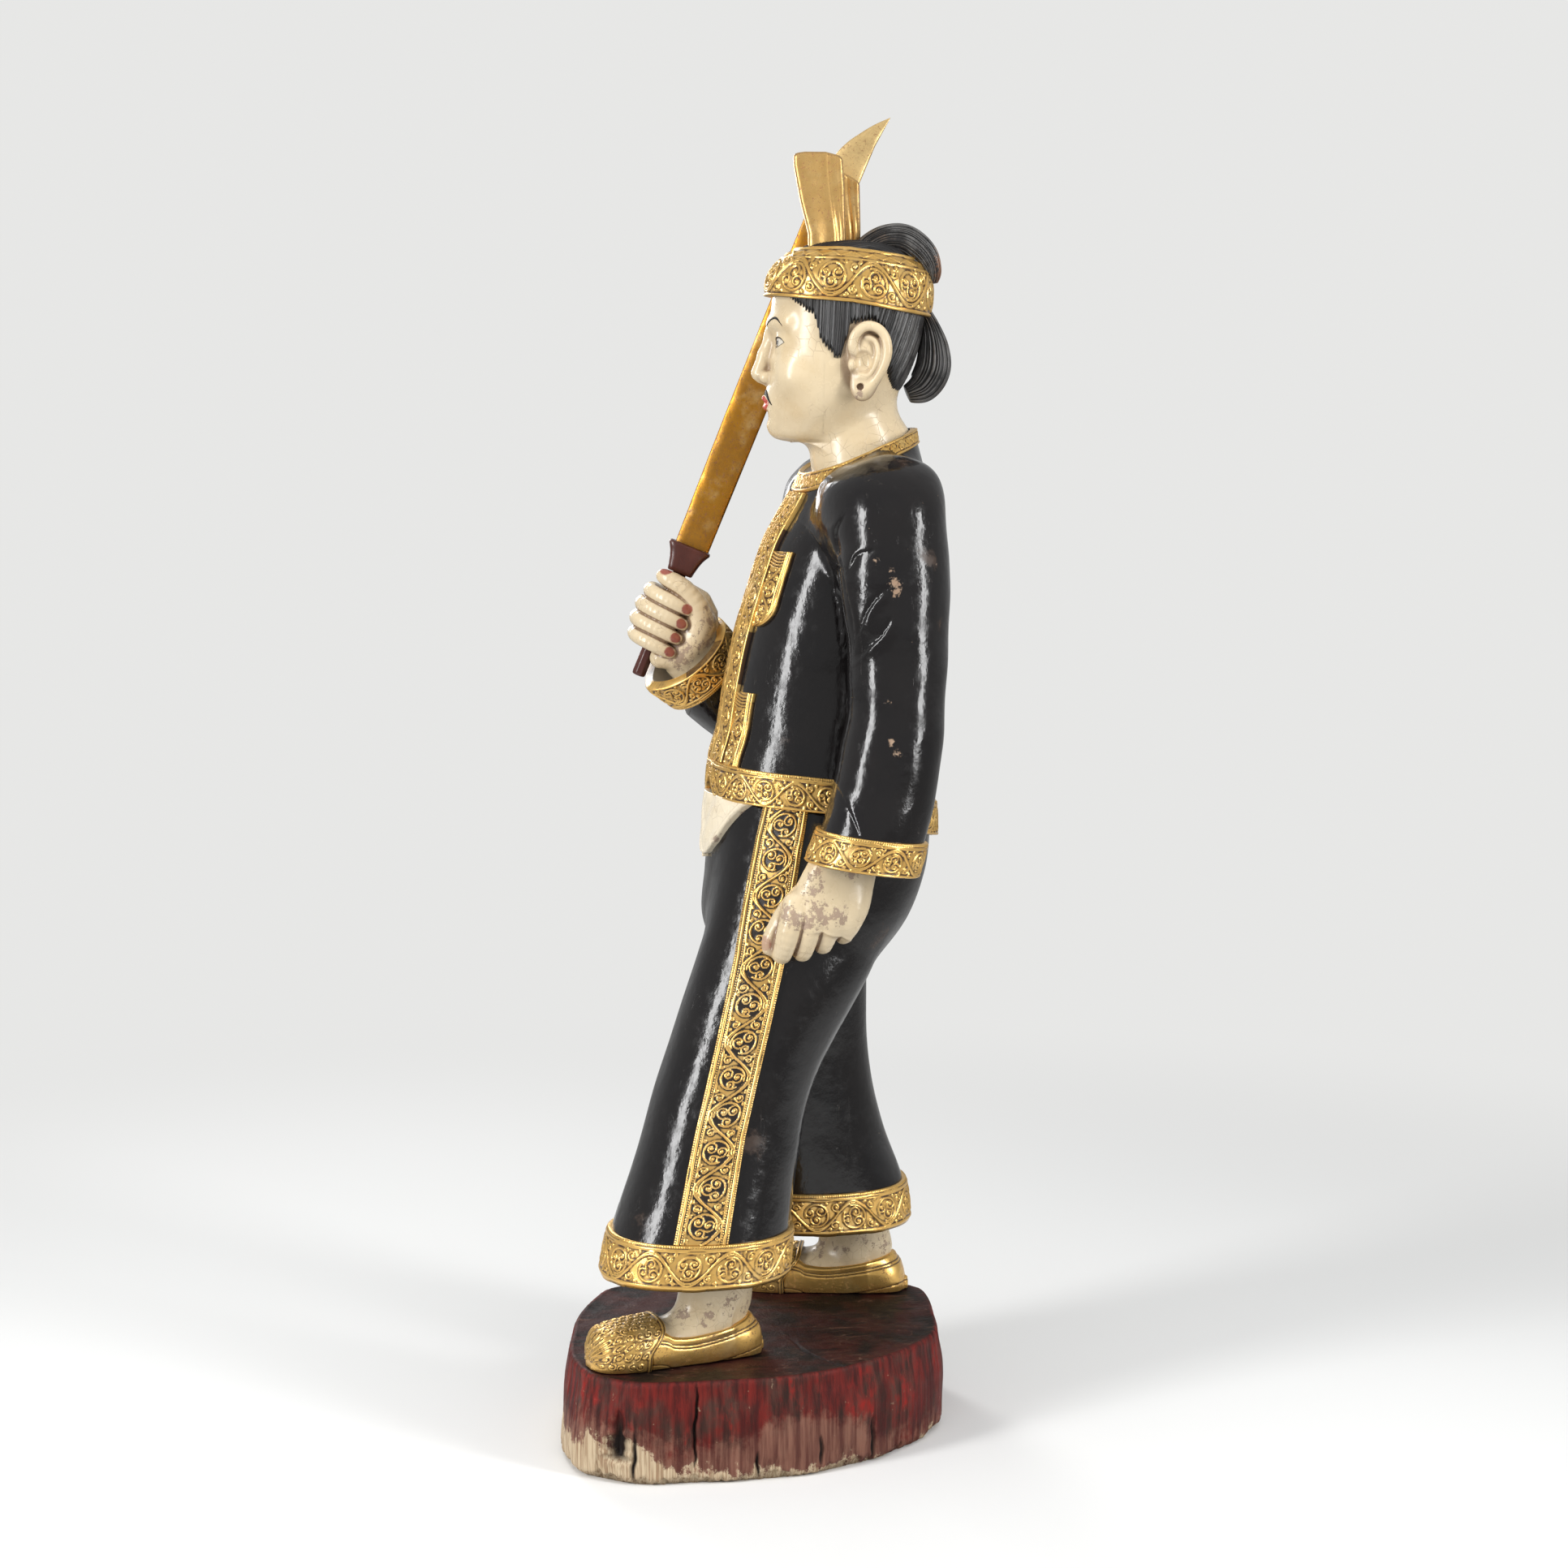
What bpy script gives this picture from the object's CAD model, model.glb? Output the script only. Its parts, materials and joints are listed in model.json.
"""Looks for the carved and lacquered spirit figure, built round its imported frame.
Lengths in this script are millimetres, and each piece is scaled to metres as it is made.
Heights in the tables are counted from the plinth's top, as FLOOR says."""

import json
import math

import bpy
import numpy as np
import openvdb
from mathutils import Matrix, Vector

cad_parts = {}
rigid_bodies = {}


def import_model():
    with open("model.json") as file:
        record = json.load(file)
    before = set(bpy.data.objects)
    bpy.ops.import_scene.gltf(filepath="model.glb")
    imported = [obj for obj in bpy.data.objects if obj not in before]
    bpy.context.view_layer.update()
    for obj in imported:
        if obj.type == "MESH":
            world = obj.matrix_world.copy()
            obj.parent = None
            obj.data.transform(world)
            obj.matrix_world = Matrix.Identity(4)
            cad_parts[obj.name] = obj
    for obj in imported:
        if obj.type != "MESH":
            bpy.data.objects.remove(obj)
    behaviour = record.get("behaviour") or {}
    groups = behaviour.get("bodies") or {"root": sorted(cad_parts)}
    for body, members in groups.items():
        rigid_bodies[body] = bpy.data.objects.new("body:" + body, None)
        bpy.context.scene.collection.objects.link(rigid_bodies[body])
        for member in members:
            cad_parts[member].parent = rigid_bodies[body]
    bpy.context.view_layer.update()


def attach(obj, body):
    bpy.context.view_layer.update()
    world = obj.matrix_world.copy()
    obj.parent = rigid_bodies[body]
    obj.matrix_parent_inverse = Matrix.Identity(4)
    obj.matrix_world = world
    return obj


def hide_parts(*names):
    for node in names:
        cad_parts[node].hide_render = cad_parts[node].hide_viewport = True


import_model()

# The height of the plinth's top, and the middle of the chest from side to side
FLOOR = 113.6
CX = -15.0

# Camera at the photograph's place, in metres
TOWARDS = Vector((0.985, -0.174, 0.0))
SIDEWAYS = Vector((0.174, 0.985, 0.0))
PITCH = math.radians(7)
CAMERA_AWAY = 3.6
CAMERA_ASIDE = 0.0422
CAMERA_TALL = 1.18
SENSOR = 36
FOCAL_PIXELS = 4000
PHOTO_PIXELS = 1932


def make_camera():
    camera = bpy.data.objects.new("camera", bpy.data.cameras.new("camera"))
    bpy.context.scene.collection.objects.link(camera)
    camera.data.lens = SENSOR * FOCAL_PIXELS / PHOTO_PIXELS
    camera.data.sensor_width = SENSOR
    camera.location = TOWARDS * CAMERA_AWAY + SIDEWAYS * CAMERA_ASIDE + Vector((0, 0, CAMERA_TALL))
    look = -TOWARDS * math.cos(PITCH) - Vector((0, 0, math.sin(PITCH)))
    camera.rotation_euler = look.to_track_quat("-Z", "Y").to_euler()
    bpy.context.scene.camera = camera


make_camera()
bpy.context.scene.view_settings.view_transform = "Standard"


def lamp(name, place, aim, wide, tall, watts, shape="RECTANGLE"):
    """An area lamp, in metres. Mirror rays do not see an elliptic one."""
    light = bpy.data.lights.new(name, "AREA")
    light.shape, light.size, light.size_y, light.energy = shape, wide, tall, watts
    holder = bpy.data.objects.new(name, light)
    bpy.context.scene.collection.objects.link(holder)
    holder.location = place
    holder.visible_glossy = shape == "RECTANGLE"
    holder.rotation_euler = (Vector(aim) - Vector(place)).to_track_quat("-Z", "Y").to_euler()


lamp("softbox_front", (1.3, -2.6, 1.6), (0, 0, 0.75), 0.62, 2.3, 84)
lamp("softbox_back", (2.0, 1.9, 1.5), (0, 0, 0.8), 0.5, 2.0, 54)
lamp("softbox_top", (0.9, 0.1, 3.0), (0, 0, 0.7), 2.6, 2.6, 40, "ELLIPSE")
lamp("softbox_far", (-2.3, -0.6, 1.8), (0, 0, 0.7), 0.6, 1.6, 26)


# Node paints
class Nodes:
    """A node tree, built up by short calls."""

    def __init__(self, owner):
        owner.use_nodes = True
        self.tree = owner.node_tree
        self.tree.nodes.clear()

    def node(self, kind, **settings):
        made = self.tree.nodes.new(kind)
        for key, value in settings.items():
            setattr(made, key, value)
        return made

    def feed(self, node, socket, value):
        if isinstance(value, bpy.types.NodeSocket):
            self.tree.links.new(value, node.inputs[socket])
        else:
            node.inputs[socket].default_value = value

    def math(self, what, *values):
        node = self.node("ShaderNodeMath", operation=what)
        for i, value in enumerate(values):
            self.feed(node, i, value)
        return node.outputs[0]

    def plus(self, a, b):
        return self.math("ADD", a, b)

    def times(self, a, b):
        return self.math("MULTIPLY", a, b)


class Paint(Nodes):
    """A principled material with its patterns."""

    def __init__(self, name):
        self.material = bpy.data.materials.new(name)
        super().__init__(self.material)
        self.out = self.node("ShaderNodeOutputMaterial")
        self.shader = self.node("ShaderNodeBsdfPrincipled")
        self.tree.links.new(self.shader.outputs[0], self.out.inputs["Surface"])
        self.place = self.node("ShaderNodeTexCoord").outputs["Object"]

    def stretched(self, scale):
        """Object coordinates scaled along each axis"""
        node = self.node("ShaderNodeMapping")
        self.feed(node, "Vector", self.place)
        self.feed(node, "Scale", scale)
        return node.outputs[0]

    def noise(self, size, detail=3.0, rough=0.55, stretch=None, warp=0.0):
        """Uneven values from 0 to 1, in patches about size millimetres wide"""
        node = self.node("ShaderNodeTexNoise")
        self.feed(node, "Vector", self.stretched(stretch) if stretch else self.place)
        self.feed(node, "Scale", 1000.0 / size)
        self.feed(node, "Detail", detail)
        self.feed(node, "Roughness", rough)
        self.feed(node, "Distortion", warp)
        return node.outputs[0]

    def cells(self, size):
        """Distance to the nearest edge of a net of cells"""
        node = self.node("ShaderNodeTexVoronoi", feature="DISTANCE_TO_EDGE")
        self.feed(node, "Vector", self.place)
        self.feed(node, "Scale", 1000.0 / size)
        return node.outputs["Distance"]

    def ramp(self, value, low, high):
        """0 at low and 1 at high, eased between them"""
        node = self.node("ShaderNodeMapRange", interpolation_type="SMOOTHSTEP")
        self.feed(node, "Value", value)
        self.feed(node, "From Min", low)
        self.feed(node, "From Max", high)
        return node.outputs[0]

    def span(self, value, low, high):
        """A value from 0 to 1 spread out from low to high"""
        node = self.node("ShaderNodeMapRange")
        self.feed(node, "Value", value)
        self.feed(node, "To Min", low)
        self.feed(node, "To Max", high)
        return node.outputs[0]

    def mix(self, share, a, b):
        node = self.node("ShaderNodeMix", data_type="RGBA")
        self.feed(node, 0, share)
        self.feed(node, 6, (*a, 1) if isinstance(a, tuple) else a)
        self.feed(node, 7, (*b, 1) if isinstance(b, tuple) else b)
        return node.outputs[2]

    def given(self, name):
        """A mark that the mesh hands over for each of its points"""
        return self.node("ShaderNodeAttribute", attribute_name=name).outputs["Fac"]

    def bump(self, height, mm, strength=1.0, under=None):
        node = self.node("ShaderNodeBump")
        self.feed(node, "Height", height)
        self.feed(node, "Strength", strength)
        self.feed(node, "Distance", mm / 1000)
        if under is not None:
            self.feed(node, "Normal", under)
        return node.outputs[0]

    def finish(self, **values):
        for key, value in values.items():
            self.feed(self.shader, key.replace("_", " "), value)
        return self.material


def ragged(p, name, size=8):
    """Where a mark handed over by the mesh breaks up into torn flakes"""
    flakes = p.ramp(p.noise(size, 6, 0.78), 0.34, 0.66)
    return p.ramp(p.math("SUBTRACT", p.given(name), flakes), 0.0, 0.05)


def lacquer_paint():
    """Glossy black lacquer, hand-rubbed, with chips, scuffs and fine scratches."""
    p = Paint("black_lacquer")
    worn = p.given("worn")
    patch = p.noise(30, 6, 0.66)
    rubbed = p.ramp(p.plus(p.times(worn, 0.42), patch), 0.80, 1.0)
    tone = p.mix(p.noise(60, 3), (0.0045, 0.0042, 0.005), (0.011, 0.009, 0.0085))
    tone = p.mix(p.times(rubbed, 0.5), tone, (0.085, 0.05, 0.032))
    specks = p.ramp(p.plus(p.noise(6.5, 4, 0.6), p.times(worn, 0.07)), 0.765, 0.785)
    specks = p.math("MAXIMUM", specks, ragged(p, "bare", 6))
    chips = p.mix(p.noise(9, 2), (0.20, 0.11, 0.06), (0.42, 0.31, 0.22))
    tone = p.mix(specks, tone, chips)
    lines = p.noise(9, 2, 0.5, stretch=(1, 1, 0.07), warp=0.35)
    thin = p.ramp(p.math("ABSOLUTE", p.math("SUBTRACT", lines, 0.64)), 0.004, 0.0)
    scratch = p.times(thin, p.ramp(p.noise(70, 2), 0.5, 0.62))
    tone = p.mix(p.times(scratch, 0.3), tone, (0.13, 0.11, 0.095))
    dust = p.ramp(p.noise(16, 6, 0.72), 0.45, 0.8)
    rough = p.plus(p.span(dust, 0.13, 0.34), p.times(rubbed, 0.22))
    rough = p.plus(rough, p.times(specks, 0.3))
    low = p.bump(p.noise(34, 4, 0.5), 1.9, 0.7)
    brushed = p.bump(p.noise(10, 3, 0.55, stretch=(1, 1, 0.35)), 0.32, 0.7, low)
    fine = p.bump(p.noise(4.5, 3, 0.6), 0.14, 0.7, brushed)
    cut = p.bump(p.plus(specks, p.times(scratch, 0.4)), -0.35, 0.8, fine)
    return p.finish(Base_Color=tone, Roughness=rough, Normal=cut, Specular_IOR_Level=0.42)


def gilt_paint(name="gilding", deep=(0.062, 0.03, 0.012), bright=(0.86, 0.56, 0.18), rough=(0.20, 0.42)):
    """Gold leaf over moulded lacquer: bright on the raised work, dark in the hollows."""
    p = Paint(name)
    hollow = p.ramp(p.plus(p.given("cavity"), p.span(p.noise(5, 3), -0.16, 0.16)), 0.12, 0.7)
    tone = p.mix(p.noise(11, 4, 0.6), bright, tuple(c * k for c, k in zip(bright, (0.80, 0.70, 0.55))))
    pale = p.ramp(p.noise(38, 4, 0.6), 0.5, 0.72)
    pale = p.math("MAXIMUM", p.times(pale, 0.4), p.given("top"))
    tone = p.mix(pale, tone, (0.92, 0.70, 0.34))
    bole = p.ramp(p.plus(p.noise(3.6, 4, 0.7), p.times(p.given("worn"), 0.2)), 0.66, 0.74)
    tone = p.mix(p.times(bole, 0.7), tone, (0.20, 0.075, 0.03))
    tone = p.mix(hollow, tone, deep)
    metal = p.span(p.math("MAXIMUM", hollow, bole), 0.82, 0.15)
    grain = p.bump(p.noise(1.6, 3, 0.6), 0.12, 0.7)
    dents = p.bump(p.noise(7, 3, 0.5), 0.4, 0.6, grain)
    spread = p.span(p.noise(9, 4, 0.65), *rough)
    return p.finish(Base_Color=tone, Metallic=metal, Roughness=spread, Normal=dents)


def cream_paint(name="cream_lacquer", stain=0.5, pale=(0.71, 0.59, 0.40), deep=(0.60, 0.47, 0.29)):
    """Aged cream lacquer with fine cracks, yellow stains and grey rubbed places."""
    p = Paint(name)
    base = p.mix(p.noise(45, 4, 0.55), pale, deep)
    yellow = p.ramp(p.noise(60, 5, 0.6), 0.5, 0.75)
    base = p.mix(p.times(yellow, stain), base, (0.52, 0.37, 0.19))
    crease = p.ramp(p.plus(p.given("cavity"), p.span(p.noise(7, 3), -0.1, 0.1)), 0.15, 1.0)
    base = p.mix(p.times(crease, 0.8), base, (0.17, 0.085, 0.045))
    net = p.cells(13)
    shown = p.ramp(p.noise(50, 2), 0.47, 0.6)
    hair = p.times(p.ramp(net, 0.022, 0.0), shown)
    base = p.mix(p.times(hair, 0.5), base, (0.26, 0.16, 0.10))
    specks = p.ramp(p.noise(3.4, 3, 0.6), 0.70, 0.76)
    base = p.mix(p.times(specks, 0.6), base, (0.24, 0.14, 0.09))
    bare = ragged(p, "worn", 9)
    grey = p.mix(p.noise(5, 4, 0.6), (0.40, 0.27, 0.21), (0.15, 0.09, 0.065))
    base = p.mix(p.times(bare, 0.75), base, grey)
    base = p.mix(p.given("nail"), base, (0.27, 0.045, 0.035))
    rough = p.plus(p.span(p.noise(15, 4), 0.16, 0.36), p.times(bare, 0.3))
    soft = p.bump(p.noise(20, 3, 0.5), 0.8, 0.55)
    sharp = p.bump(p.plus(hair, bare), -0.22, 0.7, soft)
    return p.finish(Base_Color=base, Roughness=rough, Normal=sharp)


def hair_paint():
    """Black strands, rubbed brown on the outer ridges."""
    p = Paint("hair_black")
    worn = p.ramp(p.plus(p.given("ridge"), p.span(p.noise(14, 4, 0.65), -0.65, 0.5)), 0.75, 1.25)
    tone = p.mix(p.noise(20, 3), (0.008, 0.0078, 0.0085), (0.022, 0.020, 0.019))
    tone = p.mix(p.times(worn, 0.75), tone, (0.17, 0.115, 0.075))
    crests = p.times(p.ramp(p.given("ridge"), 0.34, 0.62), p.ramp(p.noise(26, 4, 0.6), 0.36, 0.6))
    tone = p.mix(p.times(crests, 0.75), tone, (0.13, 0.125, 0.12))
    tone = p.mix(ragged(p, "worn", 6), tone, (0.20, 0.10, 0.055))
    tone = p.mix(p.times(p.ramp(p.given("cavity"), 0.35, 0.95), 0.9), tone, (0.003, 0.003, 0.003))
    rough = p.span(p.noise(12, 3), 0.24, 0.46)
    fine = p.bump(p.noise(2.5, 3, 0.6), 0.2, 0.6)
    return p.finish(Base_Color=tone, Roughness=rough, Normal=fine)


def plinth_paint():
    """Log with worn red paint: dark top, streaked sides, faded and then bare towards the foot."""
    p = Paint("red_wood")
    streak = p.noise(8, 6, 0.62, stretch=(1, 1, 0.07))
    fibre = p.noise(2.4, 4, 0.6, stretch=(1, 1, 0.03))
    patch = p.noise(44, 6, 0.62, stretch=(1, 1, 0.6))
    lanes = p.ramp(streak, 0.34, 0.66)
    red = p.mix(lanes, (0.050, 0.007, 0.006), (0.165, 0.015, 0.011))
    brown = p.mix(lanes, (0.026, 0.011, 0.008), (0.085, 0.034, 0.025))
    tone = p.mix(p.ramp(patch, 0.43, 0.62), red, brown)
    fresh = p.ramp(p.noise(46, 5, 0.62, stretch=(1, 1, 0.6)), 0.52, 0.66)
    tone = p.mix(p.times(fresh, p.ramp(streak, 0.30, 0.56)), tone, (0.27, 0.015, 0.011))
    jitter = p.span(p.noise(15, 6, 0.75, stretch=(1, 1, 0.8)), -0.5, 0.5)
    jitter = p.plus(jitter, p.span(streak, -0.14, 0.14))
    jitter = p.plus(jitter, p.span(p.noise(48, 3, 0.6), -0.35, 0.35))
    reach = p.plus(p.given("bare"), jitter)
    washed = p.mix(lanes, (0.11, 0.038, 0.028), (0.27, 0.135, 0.092))
    spread = p.ramp(p.plus(reach, p.given("worn")), 0.22, 0.60)
    tone = p.mix(p.times(spread, 0.85), tone, washed)
    pale = p.mix(p.ramp(fibre, 0.32, 0.62), (0.34, 0.22, 0.13), (0.64, 0.51, 0.34))
    tone = p.mix(p.ramp(reach, 0.60, 0.71), tone, pale)
    flaked = p.ramp(p.plus(p.noise(13, 6, 0.7), p.span(streak, -0.16, 0.16)), 0.66, 0.73)
    tone = p.mix(p.times(flaked, 0.5), tone, pale)
    marks = p.noise(11, 6, 0.66, stretch=(1, 0.14, 1))
    topside = p.mix(p.ramp(p.noise(50, 4, 0.55), 0.40, 0.62), (0.040, 0.009, 0.007), (0.009, 0.005, 0.004))
    topside = p.mix(p.ramp(marks, 0.58, 0.74), topside, (0.12, 0.055, 0.038))
    topside = p.mix(p.ramp(marks, 0.45, 0.36), topside, (0.005, 0.003, 0.002))
    lines = p.math("ABSOLUTE", p.math("SUBTRACT", p.noise(30, 3, 0.5, stretch=(1, 0.35, 1), warp=0.5), 0.5))
    shown = p.times(p.ramp(lines, 0.006, 0.001), p.ramp(p.noise(40, 3), 0.42, 0.56))
    topside = p.mix(p.times(shown, 0.7), topside, (0.17, 0.095, 0.065))
    tone = p.mix(p.given("top"), tone, topside)
    tone = p.mix(p.given("crack"), tone, (0.010, 0.006, 0.005))
    rough = p.span(p.noise(15, 4), 0.42, 0.75)
    grain = p.bump(streak, 1.6, 0.85)
    thin = p.bump(p.plus(fibre, p.times(marks, p.given("top"))), 0.55, 0.8, grain)
    fine = p.bump(p.noise(4, 4, 0.65), 0.3, 0.7, thin)
    return p.finish(Base_Color=tone, Roughness=rough, Normal=fine, Specular_IOR_Level=0.18)


def flat_paint(name, dark, light, size=8, rough=(0.4, 0.65), deep=0.25, stretch=None, **more):
    """A small field of colour, mottled and slightly uneven."""
    p = Paint(name)
    tone = p.mix(p.noise(size, 5, 0.6, stretch=stretch), dark, light)
    tone = p.mix(p.times(p.ramp(p.given("cavity"), 0.1, 1.0), 0.85), tone, (0.02, 0.012, 0.01))
    height = p.bump(p.noise(size * 0.5, 3, 0.6, stretch=stretch), deep, 0.7)
    return p.finish(Base_Color=tone, Roughness=p.span(p.noise(size * 1.5, 3), *rough), Normal=height, **more)


LACQUER = lacquer_paint()
GILT = gilt_paint()
CREAM = cream_paint()
HAIR = hair_paint()
RED_WOOD = plinth_paint()
DARK_GILT = gilt_paint("gilding_deep", deep=(0.020, 0.014, 0.010), bright=(0.88, 0.57, 0.19))
TAB_GILT = gilt_paint("gilding_tabs", deep=(0.10, 0.05, 0.02), bright=(0.72, 0.47, 0.18), rough=(0.26, 0.46))
BLADE_GILT = gilt_paint("gilding_blade", deep=(0.1, 0.05, 0.015), bright=(0.52, 0.25, 0.03),
                        rough=(0.28, 0.46))
TAIL_CREAM = cream_paint("cream_tail", stain=0.45, pale=(0.86, 0.77, 0.60), deep=(0.75, 0.64, 0.46))
SWORD_WOOD = flat_paint("sword_wood", (0.035, 0.010, 0.008), (0.11, 0.028, 0.018), 12, (0.22, 0.42), 0.4,
                        stretch=(1, 1, 0.3))
BARE_WOOD = flat_paint("bare_wood", (0.30, 0.19, 0.10), (0.46, 0.32, 0.18), 5, stretch=(1, 1, 0.2))
LINING = flat_paint("pale_lining", (0.46, 0.42, 0.37), (0.64, 0.60, 0.54), 10)
BLACK_LINE = flat_paint("black_line", (0.006, 0.005, 0.005), (0.02, 0.016, 0.014), 6, (0.55, 0.75), 0.05)
LIP_RED = flat_paint("lip_red", (0.42, 0.055, 0.04), (0.55, 0.10, 0.07), 6, (0.25, 0.4), 0.05)
EYE_WHITE = flat_paint("eye_white", (0.60, 0.55, 0.45), (0.68, 0.63, 0.54), 9, (0.35, 0.5), 0.03)
EYE_BROWN = flat_paint("eye_brown", (0.012, 0.007, 0.004), (0.03, 0.016, 0.009), 4, (0.1, 0.2), 0.02)


# Meshes
def grid_faces(rows, cols, loop):
    """Four-sided faces of a grid of points, closed round its rows if it loops"""
    ids = np.arange(rows * cols).reshape(rows, cols)
    if loop:
        ids = np.concatenate([ids, ids[:, :1]], 1)
    return np.stack([ids[:-1, :-1], ids[:-1, 1:], ids[1:, 1:], ids[1:, :-1]], -1).reshape(-1, 4)


def piece(name, points, faces, paint, slot, body="figure", nodes=(), **marks):
    """A mesh object in metres, riding on its body. Marks are numbers for each point."""
    mesh = bpy.data.meshes.new(name)
    points = np.asarray(points, float).reshape(-1, 3)
    faces = np.asarray(faces)
    count, sides = faces.shape
    mesh.vertices.add(len(points))
    mesh.vertices.foreach_set("co", (points * 0.001).astype(np.float32).ravel())
    mesh.loops.add(count * sides)
    mesh.loops.foreach_set("vertex_index", faces.astype(np.int32).ravel())
    mesh.polygons.add(count)
    mesh.polygons.foreach_set("loop_start", np.arange(0, count * sides, sides, dtype=np.int32))
    mesh.polygons.foreach_set("use_smooth", np.ones(count, bool))
    mesh.update(calc_edges=True)
    mesh.validate()
    for mark, values in marks.items():
        values = np.broadcast_to(np.ravel(values), len(points)) if np.size(values) == 1 else np.ravel(values)
        mesh.attributes.new(mark, "FLOAT", "POINT").data.foreach_set("value", values.astype(np.float32))
    mesh.materials.append(paint)
    made = bpy.data.objects.new(name, mesh)
    bpy.context.scene.collection.objects.link(made)
    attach(made, body)
    if nodes:
        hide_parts(*nodes)
    return made


# Smooth rows and solid fields. A field gives about how far a point lies outside a form.
def flow(rows, fine):
    """A smooth line through the rows, with fine steps between each two"""
    rows = np.array(rows, float)
    last = len(rows) - 1
    t = np.linspace(0, last, last * fine + 1)
    i = np.minimum(t.astype(int), last - 1)
    k = (t - i)[:, None]
    p, q, r, s = (rows[np.clip(i + j, 0, last)] for j in (-1, 0, 1, 2))
    return 0.5 * (2 * q + (r - p) * k + (2 * p - 5 * q + 4 * r - s) * k * k + (3 * q - p - 3 * r + s) * k**3)


def lift(rows):
    """Loft rows with their heights counted from the plinth's top"""
    return [[z + FLOOR, *rest] for z, *rest in rows]


def between(at, rows):
    """The second column of a table, read between its rows"""
    first, second = zip(*rows)
    return np.interp(at, first, second)


def running(points):
    """How far each point of a line lies from its start, along the line"""
    return np.concatenate([[0], np.cumsum(np.linalg.norm(np.diff(points, axis=0), axis=1))])


def squarish(angles, power):
    """Points at the angles on a rounded square of half size 1"""
    c, s = np.cos(angles), np.sin(angles)
    return np.sign(c) * np.abs(c) ** power, np.sign(s) * np.abs(s) ** power


def oval(dp, dq, a, b, e):
    """How far a place lies outside an oval with half sizes a and b, squarer for a larger e"""
    k = ((np.abs(dp) / a) ** e + (np.abs(dq) / b) ** e) ** (1 / e)
    reach = np.maximum(np.sqrt(dp * dp + dq * dq) / np.maximum(k, 1e-3), np.minimum(a, b))
    return (k - 1) * reach


class Loft:
    """Stacked rings. Rows: station, middle p and q, half sizes along p and q."""

    def __init__(self, rows, square=2.2, fine=16):
        self.rows = flow(rows, fine)
        self.square = square

    def at(self, s, column):
        return np.interp(s, self.rows[:, 0], self.rows[:, column])

    def field(self, s, p, q, grow=0.0):
        half_p, half_q = self.at(s, 3) + grow, self.at(s, 4) + grow
        side = oval(p - self.at(s, 1), q - self.at(s, 2), half_p, half_q, self.square)
        return np.maximum(side, np.maximum(self.rows[0, 0] - s, s - self.rows[-1, 0]))

    def ring(self, s, angles):
        """Point on the ring at each station and angle, given as p, q, station"""
        p, q = squarish(angles, 2 / self.square)
        p = self.at(s, 1) + p * self.at(s, 3)
        return np.stack([p, self.at(s, 2) + q * self.at(s, 4), s + 0 * p], -1)


def unit(v):
    return v / np.maximum(np.linalg.norm(v, axis=-1, keepdims=True), 1e-9)


class Bent:
    """Rings along a bent spine. Rows: x, y, z, half size along side, half size across."""

    def __init__(self, rows, side, square=2.1, fine=6):
        self.rows = flow(rows, fine)
        self.square = square
        self.along = unit(np.gradient(self.rows[:, :3], axis=0))
        side = np.array(side, float)
        self.wide = unit(side - self.along * (self.along @ side)[:, None])
        self.across = np.cross(self.along, self.wide)

    def nearest(self, x, y, z):
        """Row number, with its fraction, of the nearest place on the spine"""
        best, where = None, None
        for i in range(len(self.rows) - 1):
            a, ab = self.rows[i, :3], self.rows[i + 1, :3] - self.rows[i, :3]
            dx, dy, dz = x - a[0], y - a[1], z - a[2]
            t = np.clip((dx * ab[0] + dy * ab[1] + dz * ab[2]) / (ab @ ab), 0, 1)
            gap = (dx - t * ab[0]) ** 2 + (dy - t * ab[1]) ** 2 + (dz - t * ab[2]) ** 2
            if best is None:
                best, where = gap, t + i
            else:
                where = np.where(gap < best, t + i, where)
                best = np.minimum(gap, best)
        return where

    def read(self, table, where):
        """The columns of a table read at row numbers"""
        index = np.arange(len(self.rows))
        return [np.interp(where, index, table[:, i]) for i in range(table.shape[1])]

    def field(self, x, y, z, grow=0.0):
        where = self.nearest(x, y, z)
        *middle, half_wide, half_across = self.read(self.rows, where)
        off = [v - m for v, m in zip((x, y, z), middle)]
        wide, across, along = (sum(o * axis for o, axis in zip(off, self.read(table, where)))
                               for table in (self.wide, self.across, self.along))
        side = oval(wide, across, half_wide + grow, half_across + grow, self.square)
        last = len(self.rows) - 1
        ends = np.where(where <= 0, -along, np.where(where >= last, along, -1e3))
        return np.maximum(side, ends)

    def ring(self, where, angles, grow=0.0):
        tables = (self.rows, self.wide, self.across)
        rows, wide, across = (np.stack(self.read(table, where), -1) for table in tables)
        p, q = squarish(angles, 2 / self.square)
        p = p * (rows[..., 3] + grow)
        q = q * (rows[..., 4] + grow)
        return rows[..., :3] + wide * p[..., None] + across * q[..., None]


def blend(a, b, r):
    """a and b together, with a soft join of size r"""
    h = np.maximum(r - np.abs(a - b), 0) / r
    return np.minimum(a, b) - h * h * r * 0.25


def carve(a, b, r):
    """a without b, with a soft edge of size r"""
    return -blend(-a, b, r)


def rod(x, y, z, a, b, ra, rb=None):
    """Round bar from a to b, ra thick at a and rb thick at b"""
    rb = ra if rb is None else rb
    ab = [b[i] - a[i] for i in range(3)]
    t = np.clip(((x - a[0]) * ab[0] + (y - a[1]) * ab[1] + (z - a[2]) * ab[2]) / sum(v * v for v in ab), 0, 1)
    gap = np.sqrt((x - a[0] - t * ab[0]) ** 2 + (y - a[1] - t * ab[1]) ** 2 + (z - a[2] - t * ab[2]) ** 2)
    return gap - ra - t * (rb - ra)


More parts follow.
